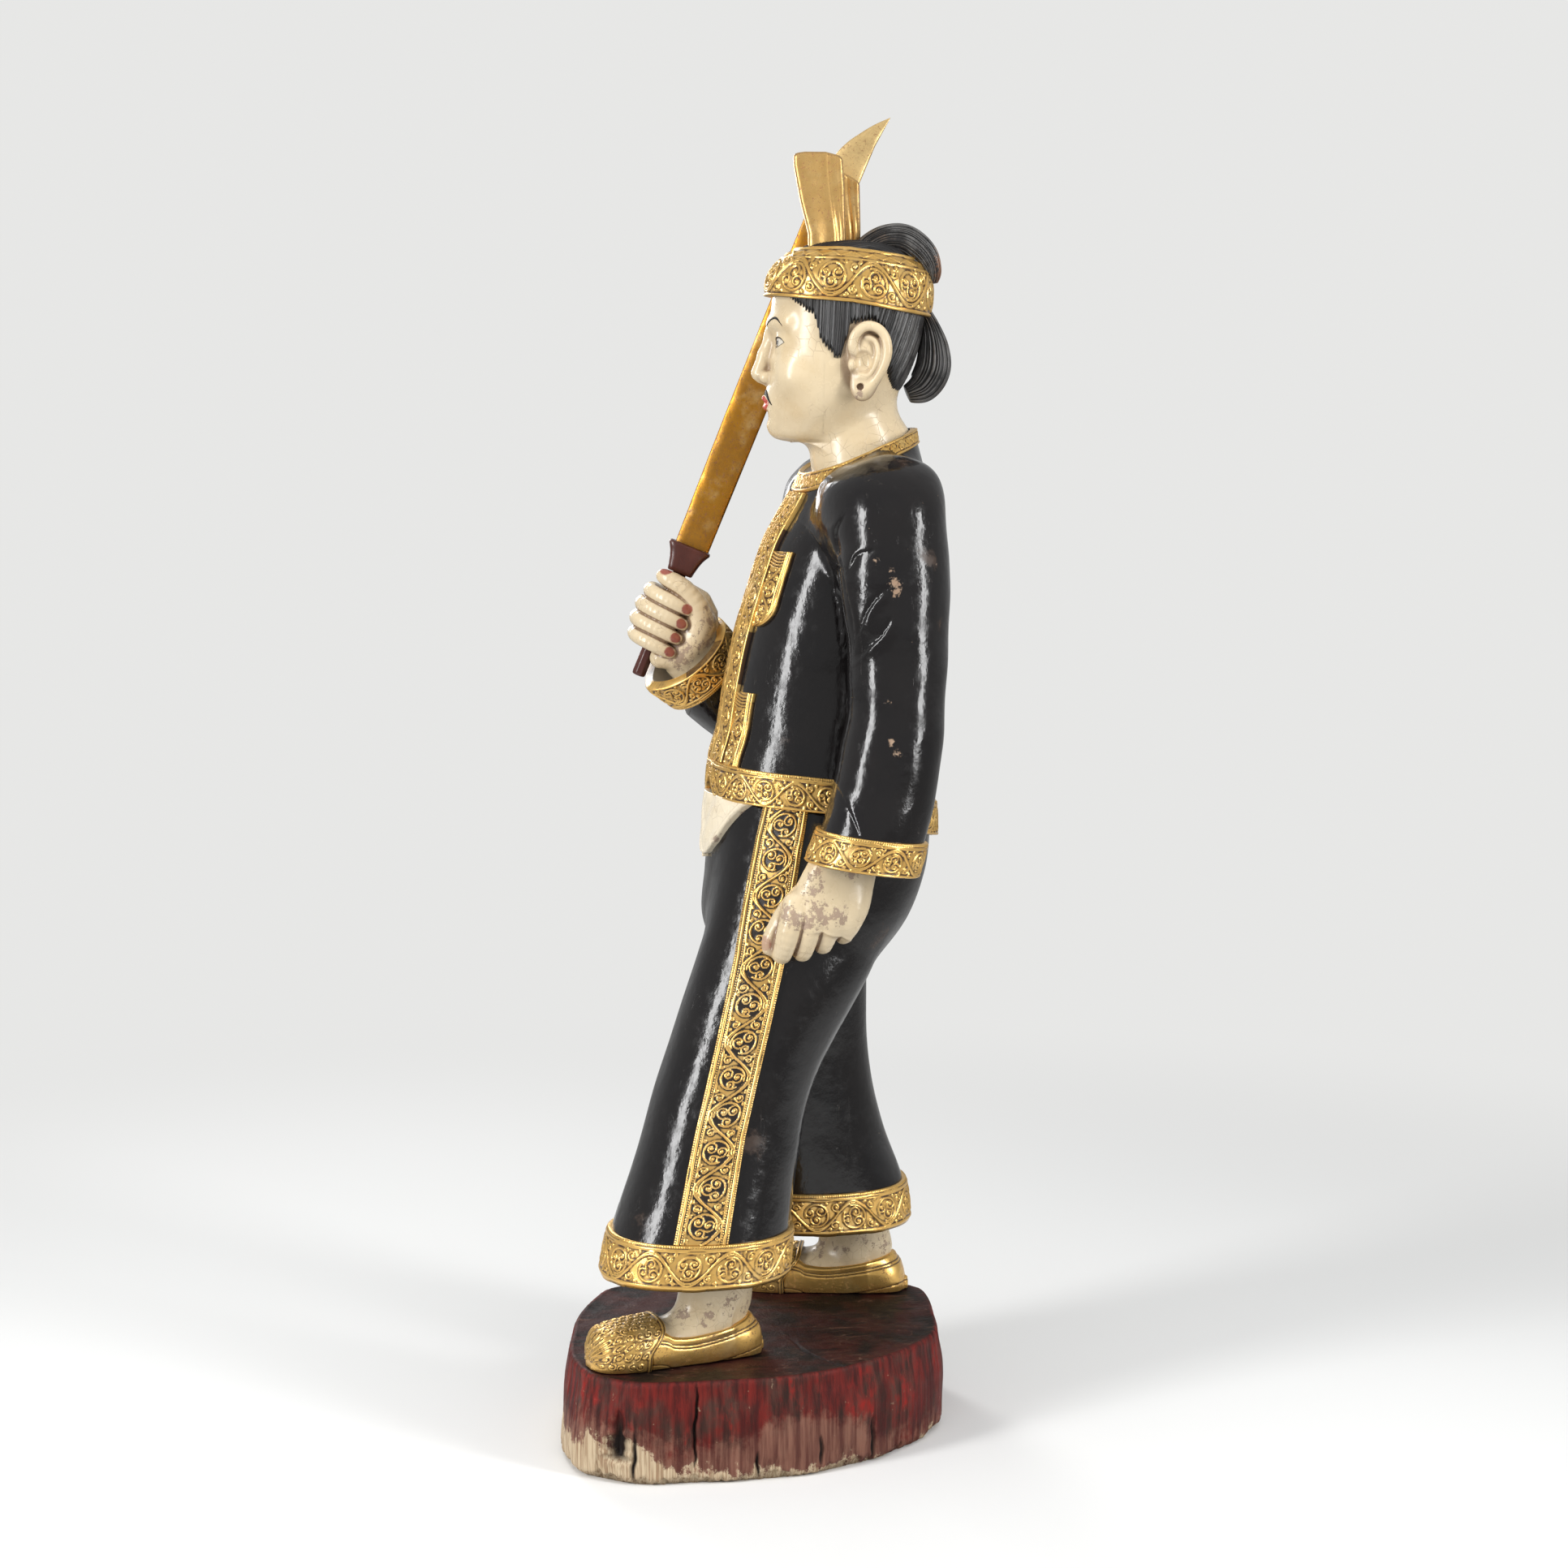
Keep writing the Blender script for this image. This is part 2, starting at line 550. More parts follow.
def chain(x, y, z, points, r):
    """Round bar through points (x, y, z, radius), joined softly"""
    total = None
    for a, b in zip(points[:-1], points[1:]):
        one = rod(x, y, z, a, b, a[3], b[3])
        total = one if total is None else blend(total, one, r)
    return total


def ball(x, y, z, middle, a, b, c):
    """Ellipsoid with half sizes a, b and c"""
    k = np.sqrt(((x - middle[0]) / a) ** 2 + ((y - middle[1]) / b) ** 2 + ((z - middle[2]) / c) ** 2)
    return (k - 1) * min(a, b, c)


def ripple(x, y, z, size, seed=1, count=7):
    """Gentle unevenness between -1 and 1"""
    rng = np.random.default_rng(seed)
    total = 0.0
    for _ in range(count):
        way = unit(rng.normal(size=3)) * (2 * np.pi / size) * rng.uniform(0.7, 1.4)
        total = total + np.sin(x * way[0] + y * way[1] + z * way[2] + rng.uniform(0, 6.28))
    return total / count * 1.6


def slope(field, p, h=0.6):
    """How fast the field grows along each axis"""
    g = np.empty_like(p)
    for i in range(3):
        step = np.zeros(3)
        step[i] = h
        a, b = p + step, p - step
        g[..., i] = field(a[..., 0], a[..., 1], a[..., 2]) - field(b[..., 0], b[..., 1], b[..., 2])
    return g / (2 * h)


def mesh_field(field, low, high, step):
    """Points, faces and normals of the surface where the field is zero"""
    axes = [np.arange(a - 1.5 * step, b + 2.5 * step, step) for a, b in zip(low, high)]
    x, y, z = axes[0][:, None, None], axes[1][None, :, None], axes[2][None, None, :]
    values = np.broadcast_to(field(x, y, z), [len(a) for a in axes])
    reach = 3.0 * step
    grid = openvdb.FloatGrid(reach)
    grid.copyFromArray(np.clip(values, -reach, reach).astype(np.float32))
    points, quads = grid.convertToQuads(0.0)
    points = np.asarray(points, float) * step + [a[0] for a in axes]
    quads = np.asarray(quads, np.int64)
    # One step down the slope settles the points on the surface
    way = slope(field, points)
    size = np.maximum((way * way).sum(-1), 0.05)
    move = np.clip(field(*points.T) / size, -0.6 * step, 0.6 * step)
    points = points - way * move[:, None]
    normals = unit(slope(field, points))
    a, b, c = (points[quads[:, i]] for i in (0, 1, 2))
    facing = np.einsum("ij,ij->i", np.cross(b - a, c - a), normals[quads[:, 0]])
    if np.median(facing) < 0:
        quads = quads[:, ::-1]
    return points, quads, normals


def land(field, start, way, reach, turns=22):
    """Where a line from start, outside the form, first meets it, and the normal there"""
    near, far = np.zeros(start.shape[:-1]), np.full(start.shape[:-1], float(reach))
    for _ in range(turns):
        mid = 0.5 * (near + far)
        p = start + way * mid[..., None]
        inside = field(p[..., 0], p[..., 1], p[..., 2]) < 0
        far = np.where(inside, mid, far)
        near = np.where(inside, near, mid)
    p = start + way * far[..., None]
    return p, unit(slope(field, p))


# Raised ornament, drawn on a sheet u by v in millimetres. Random turns start anywhere up to ROUND.
ROUND = 6.28


class Sheet:
    """Heights over a strip, with a darker ground in places."""

    def __init__(self, length, width, step, seed, loop=False):
        self.loop = loop
        self.n = int(round(length / step)) + (0 if loop else 1)
        self.m = int(round(width / step)) + 1
        self.length, self.width = length, width
        self.du = length / (self.n if loop else self.n - 1)
        self.dv = width / (self.m - 1)
        self.h = np.zeros((self.m, self.n))
        self.shade = np.zeros((self.m, self.n))
        self.rng = np.random.default_rng(seed)

    def stamp(self, u, v, wide, tall):
        """Round marks at many places at once"""
        u, v = np.atleast_1d(u).astype(float), np.atleast_1d(v).astype(float)
        wide, tall = np.broadcast_to(wide, u.shape), np.broadcast_to(tall, u.shape)
        reach = int(np.ceil(wide.max() / min(self.du, self.dv))) + 1
        k = np.arange(-reach, reach + 1)
        iu = np.round(u / self.du).astype(int)[:, None, None] + k[None, None, :]
        iv = np.round(v / self.dv).astype(int)[:, None, None] + k[None, :, None]
        iu, iv = np.broadcast_arrays(iu, iv)
        d2 = ((iu * self.du - u[:, None, None]) ** 2 + (iv * self.dv - v[:, None, None]) ** 2)
        d2 = d2 / (wide[:, None, None] ** 2)
        value = tall[:, None, None] * np.sqrt(np.clip(1 - d2, 0, 1))
        good = (d2 < 1) & (iv >= 0) & (iv < self.m)
        if self.loop:
            iu = iu % self.n
        else:
            good &= (iu >= 0) & (iu < self.n)
        np.maximum.at(self.h, (iv[good], iu[good]), value[good])

    def wire(self, points, wide, tall):
        """A round wire through points"""
        points = np.asarray(points, float)
        run = running(points)
        s = np.linspace(0, run[-1], max(3, int(run[-1] / 0.45)))
        self.stamp(np.interp(s, run, points[:, 0]), np.interp(s, run, points[:, 1]), wide, tall)

    def curl(self, u, v, radius, start, turns, hand, wide, tall, core=0.28, bead=True):
        """A spiral that winds in to a bead"""
        t = np.linspace(0, 1, 40)
        r = radius * (1 - (1 - core) * t**0.85)
        a = start + hand * turns * 2 * np.pi * t
        self.wire(np.stack([u + r * np.cos(a), v + r * np.sin(a)], 1), wide, tall)
        if bead:
            self.stamp(u, v, max(0.95, radius * 0.30), tall * 1.1)

    def line(self, v, wide, tall):
        """A wire along the whole sheet, a little unsteady"""
        u = np.arange(0, self.length + 0.4, 0.45)
        wave = 0.25 * np.sin(u / 17.0 + v) + 0.15 * np.sin(u / 6.1 + 2 * v)
        self.stamp(u, v + wave, wide, tall)

    def beads(self, v, pitch, wide, tall):
        """A row of beads along the whole sheet"""
        count = int(self.length / pitch)
        u = (np.arange(count) + 0.5) * self.length / count
        wide = wide * self.rng.uniform(0.85, 1.1, count)
        tall = tall * self.rng.uniform(0.8, 1.1, count)
        self.stamp(u, v + 0 * u, wide, tall)

    def darken(self, u, v, radius, value):
        """A darker ground inside a round place"""
        across, down = np.arange(self.n) * self.du - u, np.arange(self.m) * self.dv - v
        if self.loop:
            across = (across + self.length / 2) % self.length - self.length / 2
        inside = np.hypot(across[None], down[:, None]) < radius
        self.shade[inside] = np.maximum(self.shade[inside], value)

    def volute(self, u, mid, w, hand, wide, tall, ground):
        """The large curl of a bay in a field w wide, with three smaller ones inside it"""
        pick = self.rng.uniform
        big = 0.40 * w * pick(0.95, 1.05)
        v = mid - hand * 0.06 * w
        first = hand * np.pi * 0.5 + hand * pick(0.1, 0.5)
        self.darken(u, v, big, ground)
        self.curl(u, v, big, first, 0.86, -hand, wide * 1.05, tall, core=0.84, bead=False)
        for j, share in enumerate((0.50, 0.44, 0.40)):
            a = first - hand * (0.5 + j * 2.1 + pick(-0.15, 0.15))
            r = big * share * pick(0.95, 1.05)
            inner_u = u + (big - r) * 0.86 * np.cos(a)
            inner_v = v + (big - r) * 0.86 * np.sin(a)
            start = a + (0.4 if j else 2.6) * hand
            turn = hand if j % 2 else -hand
            self.curl(inner_u, inner_v, r, start, 1.05, turn, wide * 0.85, tall, core=0.42)
            self.stamp(inner_u, inner_v, max(1.1, 0.34 * r), tall * 1.15)

    def knots(self, edge, b, mid, w, hand, wide, tall, ground):
        """Two tight curls where a bay b long ends, one on each side of the stem"""
        pick = self.rng.uniform
        for share, turn in ((0.85, 1), (1.0, -1)):
            u = edge + pick(-0.04, 0.04) * b
            v = mid + turn * hand * 0.31 * w
            r = 0.145 * w * pick(0.9, 1.1) * share
            self.darken(u, v, r, ground)
            self.curl(u, v, r, pick(0, ROUND), 1.05, turn, wide * 0.85, tall, core=0.45)
            self.stamp(u, v, max(0.9, 0.38 * r), tall)

    def vine(self, low, high, bay, tall, wide, ground=0.3):
        """A running scroll: a waving stem, and in each bay a volute full of curls"""
        w, mid = high - low, 0.5 * (low + high)
        count = max(1, int(round(self.length / bay)))
        if self.loop and count % 2:
            count += 1
        b = self.length / count
        u = np.linspace(0, self.length, int(self.length * 2) + 2)
        for shift, size in ((0.03 * w, wide * 1.15), (-0.045 * w, wide * 0.85)):
            self.wire(np.stack([u, mid + (0.47 * w + shift) * np.sin(np.pi * u / b)], 1), size, tall * 1.1)
        pick = self.rng.uniform
        for i in range(count):
            hand = 1 if i % 2 == 0 else -1
            c = (i + 0.5) * b + pick(-0.02, 0.02) * b
            self.volute(c, mid, w, hand, wide, tall, ground)
            self.knots((i + 1) * b, b, mid, w, hand, wide, tall, ground)
            for at, turn in ((-0.36, 1), (0.30, 1), (-0.34, -1), (0.36, -1)):
                v = mid - turn * hand * 0.45 * w
                self.curl(c + at * b, v, 0.062 * w, pick(0, ROUND), 0.85, turn, wide * 0.7, tall * 0.8)

    def soften(self, values, reach):
        """Values averaged over a square of about twice the reach"""
        k = max(1, int(round(reach / self.du)))
        out = values
        for axis, wrap in ((0, False), (1, self.loop)):
            pad = [(0, 0), (0, 0)]
            pad[axis] = (k, k)
            wide = np.pad(out, pad, mode="wrap" if wrap else "edge")
            run = np.cumsum(np.insert(wide, 0, 0, axis), axis)
            hi = np.take(run, np.arange(2 * k + 1, run.shape[axis]), axis)
            lo = np.take(run, np.arange(0, run.shape[axis] - 2 * k - 1), axis)
            out = (hi - lo) / (2 * k + 1)
        return out

    def hollows(self, reach=2.6, deep=0.85):
        """How deep each place lies between the raised work, from 0 to 1"""
        dips = np.clip((self.soften(self.h, reach) - self.h) / deep, 0, 1)
        return np.maximum(dips, self.shade * (self.h < 0.3))


def trim(vine, lines, beads=()):
    """An ornament of one scroll field with wires and bead rows beside it, drawn on a sheet.
    A place below 0 is counted from the sheet's far edge."""

    def draw(sheet):
        low, high, bay, wide, tall, *ground = vine
        sheet.vine(low, sheet.width + high, bay, tall, wide, *ground)
        for v, wide, tall in lines:
            sheet.line(v if v > 0 else sheet.width + v, wide, tall)
        for v, pitch, wide, tall in beads:
            sheet.beads(v if v > 0 else sheet.width + v, pitch, wide, tall)

    return draw


def band(name, node, base, normal, sheet, thick, paint=GILT, hollow=1.0, rim=1.2):
    """A thick band over a surface, with the sheet's ornament raised on it"""
    cavity = sheet.hollows() * hollow
    lifted = base + normal * (thick + sheet.h)[..., None]
    sunk = base - normal * rim
    points = np.concatenate([sunk[:1], lifted, sunk[-1:]], 0)
    cavity = np.pad(cavity, ((1, 1), (0, 0)), mode="edge")
    ends = (0, 0) if sheet.loop else (1, 1)
    if not sheet.loop:
        wide = np.concatenate([sunk[:1], sunk, sunk[-1:]], 0)
        points = np.concatenate([wide[:, :1], points, wide[:, -1:]], 1)
        cavity = np.pad(cavity, ((0, 0), ends), mode="edge")
    faces = grid_faces(*points.shape[:2], sheet.loop)
    flat = points.reshape(-1, 3)
    first, second, fourth = (flat[faces[:, i]] for i in (0, 1, 3))
    outward = np.pad(normal, ((1, 1), ends, (0, 0)), mode="edge").reshape(-1, 3)
    facing = np.einsum("ij,ij->i", np.cross(second - first, fourth - first), outward[faces[:, 0]])
    if np.median(facing) < 0:
        faces = faces[:, ::-1]
    return piece(name, flat, faces, paint, "gilding", nodes=[node], cavity=cavity.ravel(), worn=0.0)


def even_angles(ring, count):
    """Angles that cut a closed ring into equal lengths, and the ring's whole length"""
    t = np.linspace(0, 2 * np.pi, 721)
    run = running(ring(t))
    return np.interp(np.arange(count) / count * run[-1], run, t), run[-1]


def smooth(t):
    """From 0 to 1 as t does, with eased ends"""
    t = np.clip(t, 0, 1)
    return t * t * (3 - 2 * t)


def both(a, b, r):
    """What a and b share, with a soft edge of size r"""
    return -blend(-a, -b, r)


def within(field, low, high, far=45.0):
    """The field inside a box only; elsewhere a point counts as far outside"""

    def limited(x, y, z):
        axes = [np.asarray(v, float) for v in (x, y, z)]
        shape = np.broadcast_shapes(*(a.shape for a in axes))
        out = np.full(shape, far)
        if len(shape) == 3 and axes[0].shape[1:] == (1, 1):
            keep = [np.where((a.ravel() > lo) & (a.ravel() < hi))[0] for a, lo, hi in zip(axes, low, high)]
            if all(len(k) for k in keep):
                sub = [np.take(a, k, i) for i, (a, k) in enumerate(zip(axes, keep))]
                out[np.ix_(*keep)] = field(*sub)
            return out
        axes = [np.broadcast_to(a, shape) for a in axes]
        good = np.ones(shape, bool)
        for a, lo, hi in zip(axes, low, high):
            good &= (a > lo) & (a < hi)
        if good.any():
            out[good] = field(*(a[good] for a in axes))
        return out

    return limited


def line_height(table):
    """A height over the floor as a function of y"""
    return lambda y: between(y, table) + FLOOR


# Trousers
HEM_Z = FLOOR + 98
HEM_TALL = 46
left_leg = Loft(lift([
    [98, 87, -73, 88, 101], [146, 84, -65, 86, 98], [218, 76, -47, 78, 90.5],
    [309, 66, -21, 73, 88], [425, 52, 32, 72, 100], [520, 40, 68, 64, 102],
    [575, 34, 78, 54, 90], [620, 30, 84, 34, 60]]))
right_leg = Loft(lift([
    [98, -116, 108, 88, 100], [146, -113, 104, 86, 97], [218, -104, 86, 78, 89],
    [309, -98, 73, 74, 84], [425, -86, 64, 72, 92], [520, -72, 78, 64, 100],
    [575, -64, 82, 54, 90], [620, -60, 86, 34, 60]]))
hips = Loft(lift([
    [408, CX, 56, 40, 44], [432, CX, 61, 98, 88], [471, CX, 68.6, 124, 114],
    [526, CX, 80, 129, 123], [575, CX, 85, 127, 124], [612, CX, 87, 124, 123], [640, CX, 88, 120, 119]]))
hem_line = line_height([[-260, 622], [-140, 619], [-70, 617], [-20, 612], [40, 607], [87, 602],
                        [150, 587], [215, 564], [300, 530]])


def trousers(x, y, z):
    """Both legs and the hips, without their upper and lower cut"""
    legs = blend(left_leg.field(z, x, y), right_leg.field(z, x, y), 9)
    return blend(legs, hips.field(z, x, y), 20) + 0.6 * ripple(x, y, z, 85, 4)


def trousers_cut(x, y, z):
    return np.maximum(trousers(x, y, z), np.maximum(z - hem_line(y) + 0.3, HEM_Z + 1 - z))


def spot(points, places):
    """How near each point is to any of the places (x, y, z, reach), from 0 to 1"""
    total = np.zeros(len(points))
    for *middle, reach in places:
        far = np.linalg.norm(points - np.array(middle), axis=1) / reach
        total = np.maximum(total, np.clip(1.25 - far, 0, 1))
    return total


TROUSERS_STEP = 2.9
TROUSERS_WORN = [(150, -20, 360, 34), (120, 70, 390, 40), (130, 60, 330, 30), (90, 20, 690, 40),
                 (120, -120, 270, 40), (-60, 190, 330, 40), (60, -60, 500, 30), (100, 140, 560, 40)]


def make_trousers():
    low, high = (-206, -176, HEM_Z), (178, 212, FLOOR + 615)
    points, faces, _ = mesh_field(trousers_cut, low, high, TROUSERS_STEP)
    over_hem = 0.6 * smooth((HEM_Z + HEM_TALL + 12 - points[:, 2]) / 12)
    piece("trousers_skin", points, faces, LACQUER, "black_lacquer", nodes=["trousers"],
          worn=np.maximum(spot(points, TROUSERS_WORN), over_hem))


make_trousers()


# Closed bands round the legs, the jacket, the collar and the left sleeve
def follow(loft, low, rise, angles):
    """Points of a loft at a height over its line low(y)"""
    z = low(np.zeros_like(angles)) + rise
    for _ in range(5):
        p = loft.ring(z, angles)
        z = low(p[..., 1]) + rise
    return loft.ring(z, angles)


def hoop(loft, low, tall, step, seed, draw):
    """A closed band round a loft, from the height low(y) up. Gives its base, normals and sheet."""

    def middle(t):
        return follow(loft, low, tall / 2, t)

    _, length = even_angles(middle, 10)
    sheet = Sheet(length, tall, step, seed, loop=True)
    angles, _ = even_angles(middle, sheet.n)
    rise = np.linspace(0, tall, sheet.m)[:, None] + 0 * angles[None]
    base = follow(loft, low, rise, angles[None] + 0 * rise)
    draw(sheet)
    return base, unit(slope(lambda x, y, z: loft.field(z, x, y), base)), sheet


hem_ornament = trim((3.6, -8.2, 44, 1.1, 1.8), [(1.6, 1.5, 1.6), (-6.6, 0.9, 1.4), (-4.6, 1.1, 1.7)],
                    [(-1.8, 2.6, 1.2, 1.2)])
for side, leg, seed in (("left", left_leg, 5), ("right", right_leg, 8)):
    wrapped = hoop(leg, lambda y: HEM_Z + 0 * y, HEM_TALL, 0.85, seed, hem_ornament)
    band(f"{side}_hem_gilding", f"{side}_hem_band", *wrapped, thick=4.2, hollow=0.8, rim=3.0)

# Gilt bands down the trousers' outer sides: the y of their front and back edges by height
SIDE_LOW, SIDE_TALL = 144.3, 466
SIDE_LONG, SIDE_WIDE = 474, 53
SIDE_FRONT = [[SIDE_LOW, -107], [257, -80], [353, -54], [449, -29], [640, 13]]
SIDE_BACK = [[SIDE_LOW, -49], [257, -26], [353, -1], [449, 24], [640, 57]]
# The right band stands further back, the more so the lower it is
RIGHT_BACK, RIGHT_LEAN, RIGHT_UPRIGHT = 26, 170, 640
side_ornament = trim(
    (9.6, -9.6, 38, 1.1, 1.9, 0.95), [(4.0, 1.8, 2.1), (-4.0, 1.8, 2.1), (9.3, 0.8, 1.3), (-9.3, 0.8, 1.3)],
    [(1.1, 2.5, 1.05, 1.2), (-1.1, 2.5, 1.05, 1.2), (7.2, 2.6, 1.1, 1.5), (-7.2, 2.6, 1.1, 1.5)])


def make_side_band(side, sign):
    sheet = Sheet(SIDE_LONG, SIDE_WIDE, 0.85, 11 + sign)
    side_ornament(sheet)
    z = FLOOR + SIDE_LOW + np.linspace(0, SIDE_TALL, sheet.n)[None, :] + np.zeros((sheet.m, 1))
    across = np.linspace(0, 1, sheet.m)[:, None]
    front, back = between(z - FLOOR, SIDE_FRONT), between(z - FLOOR, SIDE_BACK)
    y = front + (back - front) * across
    if side == "right":
        y = y + (RIGHT_UPRIGHT - z + FLOOR) / (RIGHT_UPRIGHT - SIDE_LOW) * RIGHT_LEAN + RIGHT_BACK
    away = 280.0
    start = np.stack([np.full_like(y, CX + sign * away), y, z], -1)
    base, normal = land(trousers, start, np.array([-sign, 0.0, 0.0]), away)
    band(f"{side}_side_gilding", f"{side}_side_band", base, normal, sheet, thick=3.0, paint=DARK_GILT)


make_side_band("left", 1)
make_side_band("right", -1)

# Tongue of shirt below the jacket: half its width by height
TAIL_HALF = [[546, 1], [547, 12], [550, 21], [564, 43], [586, 64], [610, 88], [650, 90]]


def tail_edge(x, z):
    """How far a point lies outside the tongue's outline, seen from the front"""
    return np.abs(x - CX) - between(z - FLOOR, TAIL_HALF)


def tail(x, y, z):
    edge = tail_edge(x, z)
    skin = trousers(x, y, z)
    slab = both(skin - 7.0 - 1.2 * np.cos(edge * 0.16), edge * 0.72, 3.5)
    return np.maximum(slab, np.maximum(-skin - 3, np.maximum(y - 62, z - hem_line(y) - 2)))


def make_tail():
    points, faces, normals = mesh_field(tail, (-108, -52, FLOOR + 544), (78, 66, FLOOR + 618), 1.3)
    # A shallow line 7 inside the edge
    rim = smooth((3.0 - np.abs(tail_edge(points[:, 0], points[:, 2]) + 7)) / 3.0)
    points = points - normals * (0.7 * rim)[:, None]
    worn = spot(points, [(40, -40, FLOOR + 560, 16), (60, -5, FLOOR + 596, 14), (-60, -40, FLOOR + 585, 18)])
    piece("shirt_tail_skin", points, faces, TAIL_CREAM, "cream_lacquer", nodes=["shirt_tail"],
          cavity=rim * 0.5, worn=worn)


make_tail()

# Jacket and sleeves
torso = Loft(lift([
    [540, CX, 87, 130, 127], [606, CX, 87.4, 128, 124.5], [649, CX, 89.5, 125, 123.5],
    [686, CX, 94.5, 122, 118.5], [729, CX, 98, 120, 115], [782, CX, 103, 119, 109],
    [822, CX, 108.7, 119, 103.5], [866, CX, 116, 119, 96.5], [898, CX, 121, 117, 89.5],
    [940, CX, 131, 116, 75], [964, CX, 134, 106, 66], [982, CX, 136, 90, 61],
    [998, CX, 137, 72, 57], [1012, CX, 137, 60, 54], [1035, CX, 138, 54, 51]]), square=2.3)
neck_line = line_height([[-140, 880], [74, 971], [194, 1021], [300, 1066]])
cuff_line = line_height([[-100, 580], [33, 560], [150, 544], [300, 524]])
SLEEVE_TOP = [[990, 128, 143, 9, 16], [984, 133, 142, 22, 34], [971, 139, 140, 38, 48],
              [946, 149, 138, 49, 56], [922, 156, 136, 52, 58]]
left_sleeve = Loft([[z + FLOOR, CX + x, y, a, b] for z, x, y, a, b in reversed(SLEEVE_TOP + [
    [870, 163, 136, 53, 60.5], [819, 167, 138, 52, 57], [781, 169, 139.5, 51.5, 54],
    [718, 172, 137, 51, 52.5], [682, 174, 132.5, 51.5, 55], [632, 176, 123, 52, 56.5],
    [604, 177, 116, 53, 57.5], [530, 178, 92, 54, 61]])], square=2.1)
# The right arm bends forward at its elbow
ELBOW = [[CX - x, y, z + FLOOR, a, b] for x, y, z, a, b in [
    [133, 142, 984, 22, 34], [139, 140, 971, 38, 48], [149, 138, 946, 49, 56], [156, 136, 922, 52, 58],
    [163, 134, 870, 52, 59], [166, 130, 816, 51, 56], [168, 124, 760, 50, 54], [168, 106, 712, 49, 53],
    [163, 72, 690, 49, 52], [151, 28, 698, 48, 51], [134, -14, 728, 47, 50], [117, -48, 763, 47, 50]]]
right_arm = Bent(ELBOW, (1, 0, 0), fine=4)
MOUTH = right_arm.rows[-1, :3]
MOUTH_WAY = unit(np.array(ELBOW[-1][:3]) - np.array(ELBOW[-2][:3]))
MOUTH_DEEP = 24.0
# The forearm ends at the cuff's mouth, and everything of it lies below this height
FOREARM_TOP = FLOOR + 840


def past_mouth(x, y, z):
    """Distance past the right cuff's mouth, counted for the forearm only"""
    ahead = sum((v - MOUTH[i]) * MOUTH_WAY[i] for i, v in enumerate((x, y, z)))
    return np.where(z < FOREARM_TOP, ahead, -200.0)


def right_sleeve(x, y, z):
    skin = right_arm.field(x, y, z)
    ahead = past_mouth(x, y, z)
    hollow = np.maximum(skin + 7, -MOUTH_DEEP - ahead)
    return np.maximum(np.maximum(skin, ahead + 3), -hollow)


right_near = within(right_sleeve, (-245, -100, FLOOR + 620), (-70, 210, FLOOR + 1000))

# Folds carved at the armpits, seen from the side: points (y, height), the side that stands proud,
# depth of the cut, height of the proud lip and how far that lip reaches
FOLDS = [
    ([(88, 790), (86, 817), (80, 850), (76, 876), (66, 893), (52, 920)], 1, 2.4, 1.2, 7),
    ([(79, 866), (75, 892), (73, 912), (80, 932)], -1, 2.2, 1.4, 8),
    ([(82, 872), (90, 890), (106, 894)], -1, 1.6, 1.2, 9),
    ([(92, 806), (97, 824), (105, 839), (121, 855)], 1, 2.4, 2.0, 9),
    ([(93, 780), (103, 794), (113, 804), (124, 823)], 1, 2.4, 2.0, 9),
    ([(70, 640), (80, 615), (88, 590)], -1, 1.6, 1.2, 8),
]


def carved_folds(y, z):
    """How far the cloth sinks at each point"""
    total = np.zeros_like(y)
    for line, proud, deep, lip, reach in FOLDS:
        line = flow(line, 6)
        near, away, side = np.full_like(y, 1e9), np.zeros_like(y), np.zeros_like(y)
        for i, (a, b) in enumerate(zip(line[:-1], line[1:])):
            way = b - a
            dy, dz = y - a[0], z - FLOOR - a[1]
            t = np.clip((dy * way[0] + dz * way[1]) / (way @ way), 0, 1)
            far = np.hypot(dy - t * way[0], dz - t * way[1])
            closer = far < near
            side = np.where(closer, np.sign(dy * way[1] - dz * way[0]), side)
            away = np.where(closer, (i + t) / (len(line) - 1), away)
            near = np.minimum(near, far)
        fade = np.clip(np.sin(np.pi * np.clip(away * 0.94 + 0.03, 0, 1)), 0, 1) ** 0.6
        cut = deep * np.exp(-near / 3.2)
        raised = deep * np.exp(-near / 0.9) - lip * np.exp(-((near / reach) ** 2))
        total = total + fade * np.where(side * proud > 0, raised, cut)
    return total


# Filling between the chest and the top of each sleeve
shoulder = Loft(lift([
    [835, 122, 134, 30, 36], [852, 122, 130, 41, 46], [880, 119, 127, 46, 53], [915, 115, 127, 52, 57],
    [948, 110, 131, 52, 53], [966, 105, 134, 46, 50], [978, 100, 136, 37, 40], [986, 96, 137, 26, 28],
    [990, 93, 138, 13, 14]]), square=2.2)


def front_corner(x):
    """How much the jacket's lower edge rises where its fronts meet"""
    return 20 * (1 - smooth(np.abs(x - CX) / 32))


def jacket(x, y, z):
    """Body and both sleeves, joined softly from the armpits up"""
    body = np.maximum(torso.field(z, x, y), hem_line(y) + front_corner(x) * (y < 20) - z)
    left = np.maximum(left_sleeve.field(z, x, y), cuff_line(y) + 3 - z)
    r = 6 + 58 * smooth((z - FLOOR - 872) / 88)
    total = blend(blend(body, left, r), right_near(x, y, z), r)
    aside = np.abs(x - CX)
    ahead = smooth((z - FLOOR - 880) / 50) * smooth((aside - 50) / 50) * smooth((160 - y) / 50)
    ahead = ahead * smooth((FLOOR + 986 - z) / 30)
    total = blend(total, shoulder.field(z, aside, y), 12 + 34 * ahead)
    return np.maximum(total, z - neck_line(y)) + 0.55 * ripple(x, y, z, 80, 9)


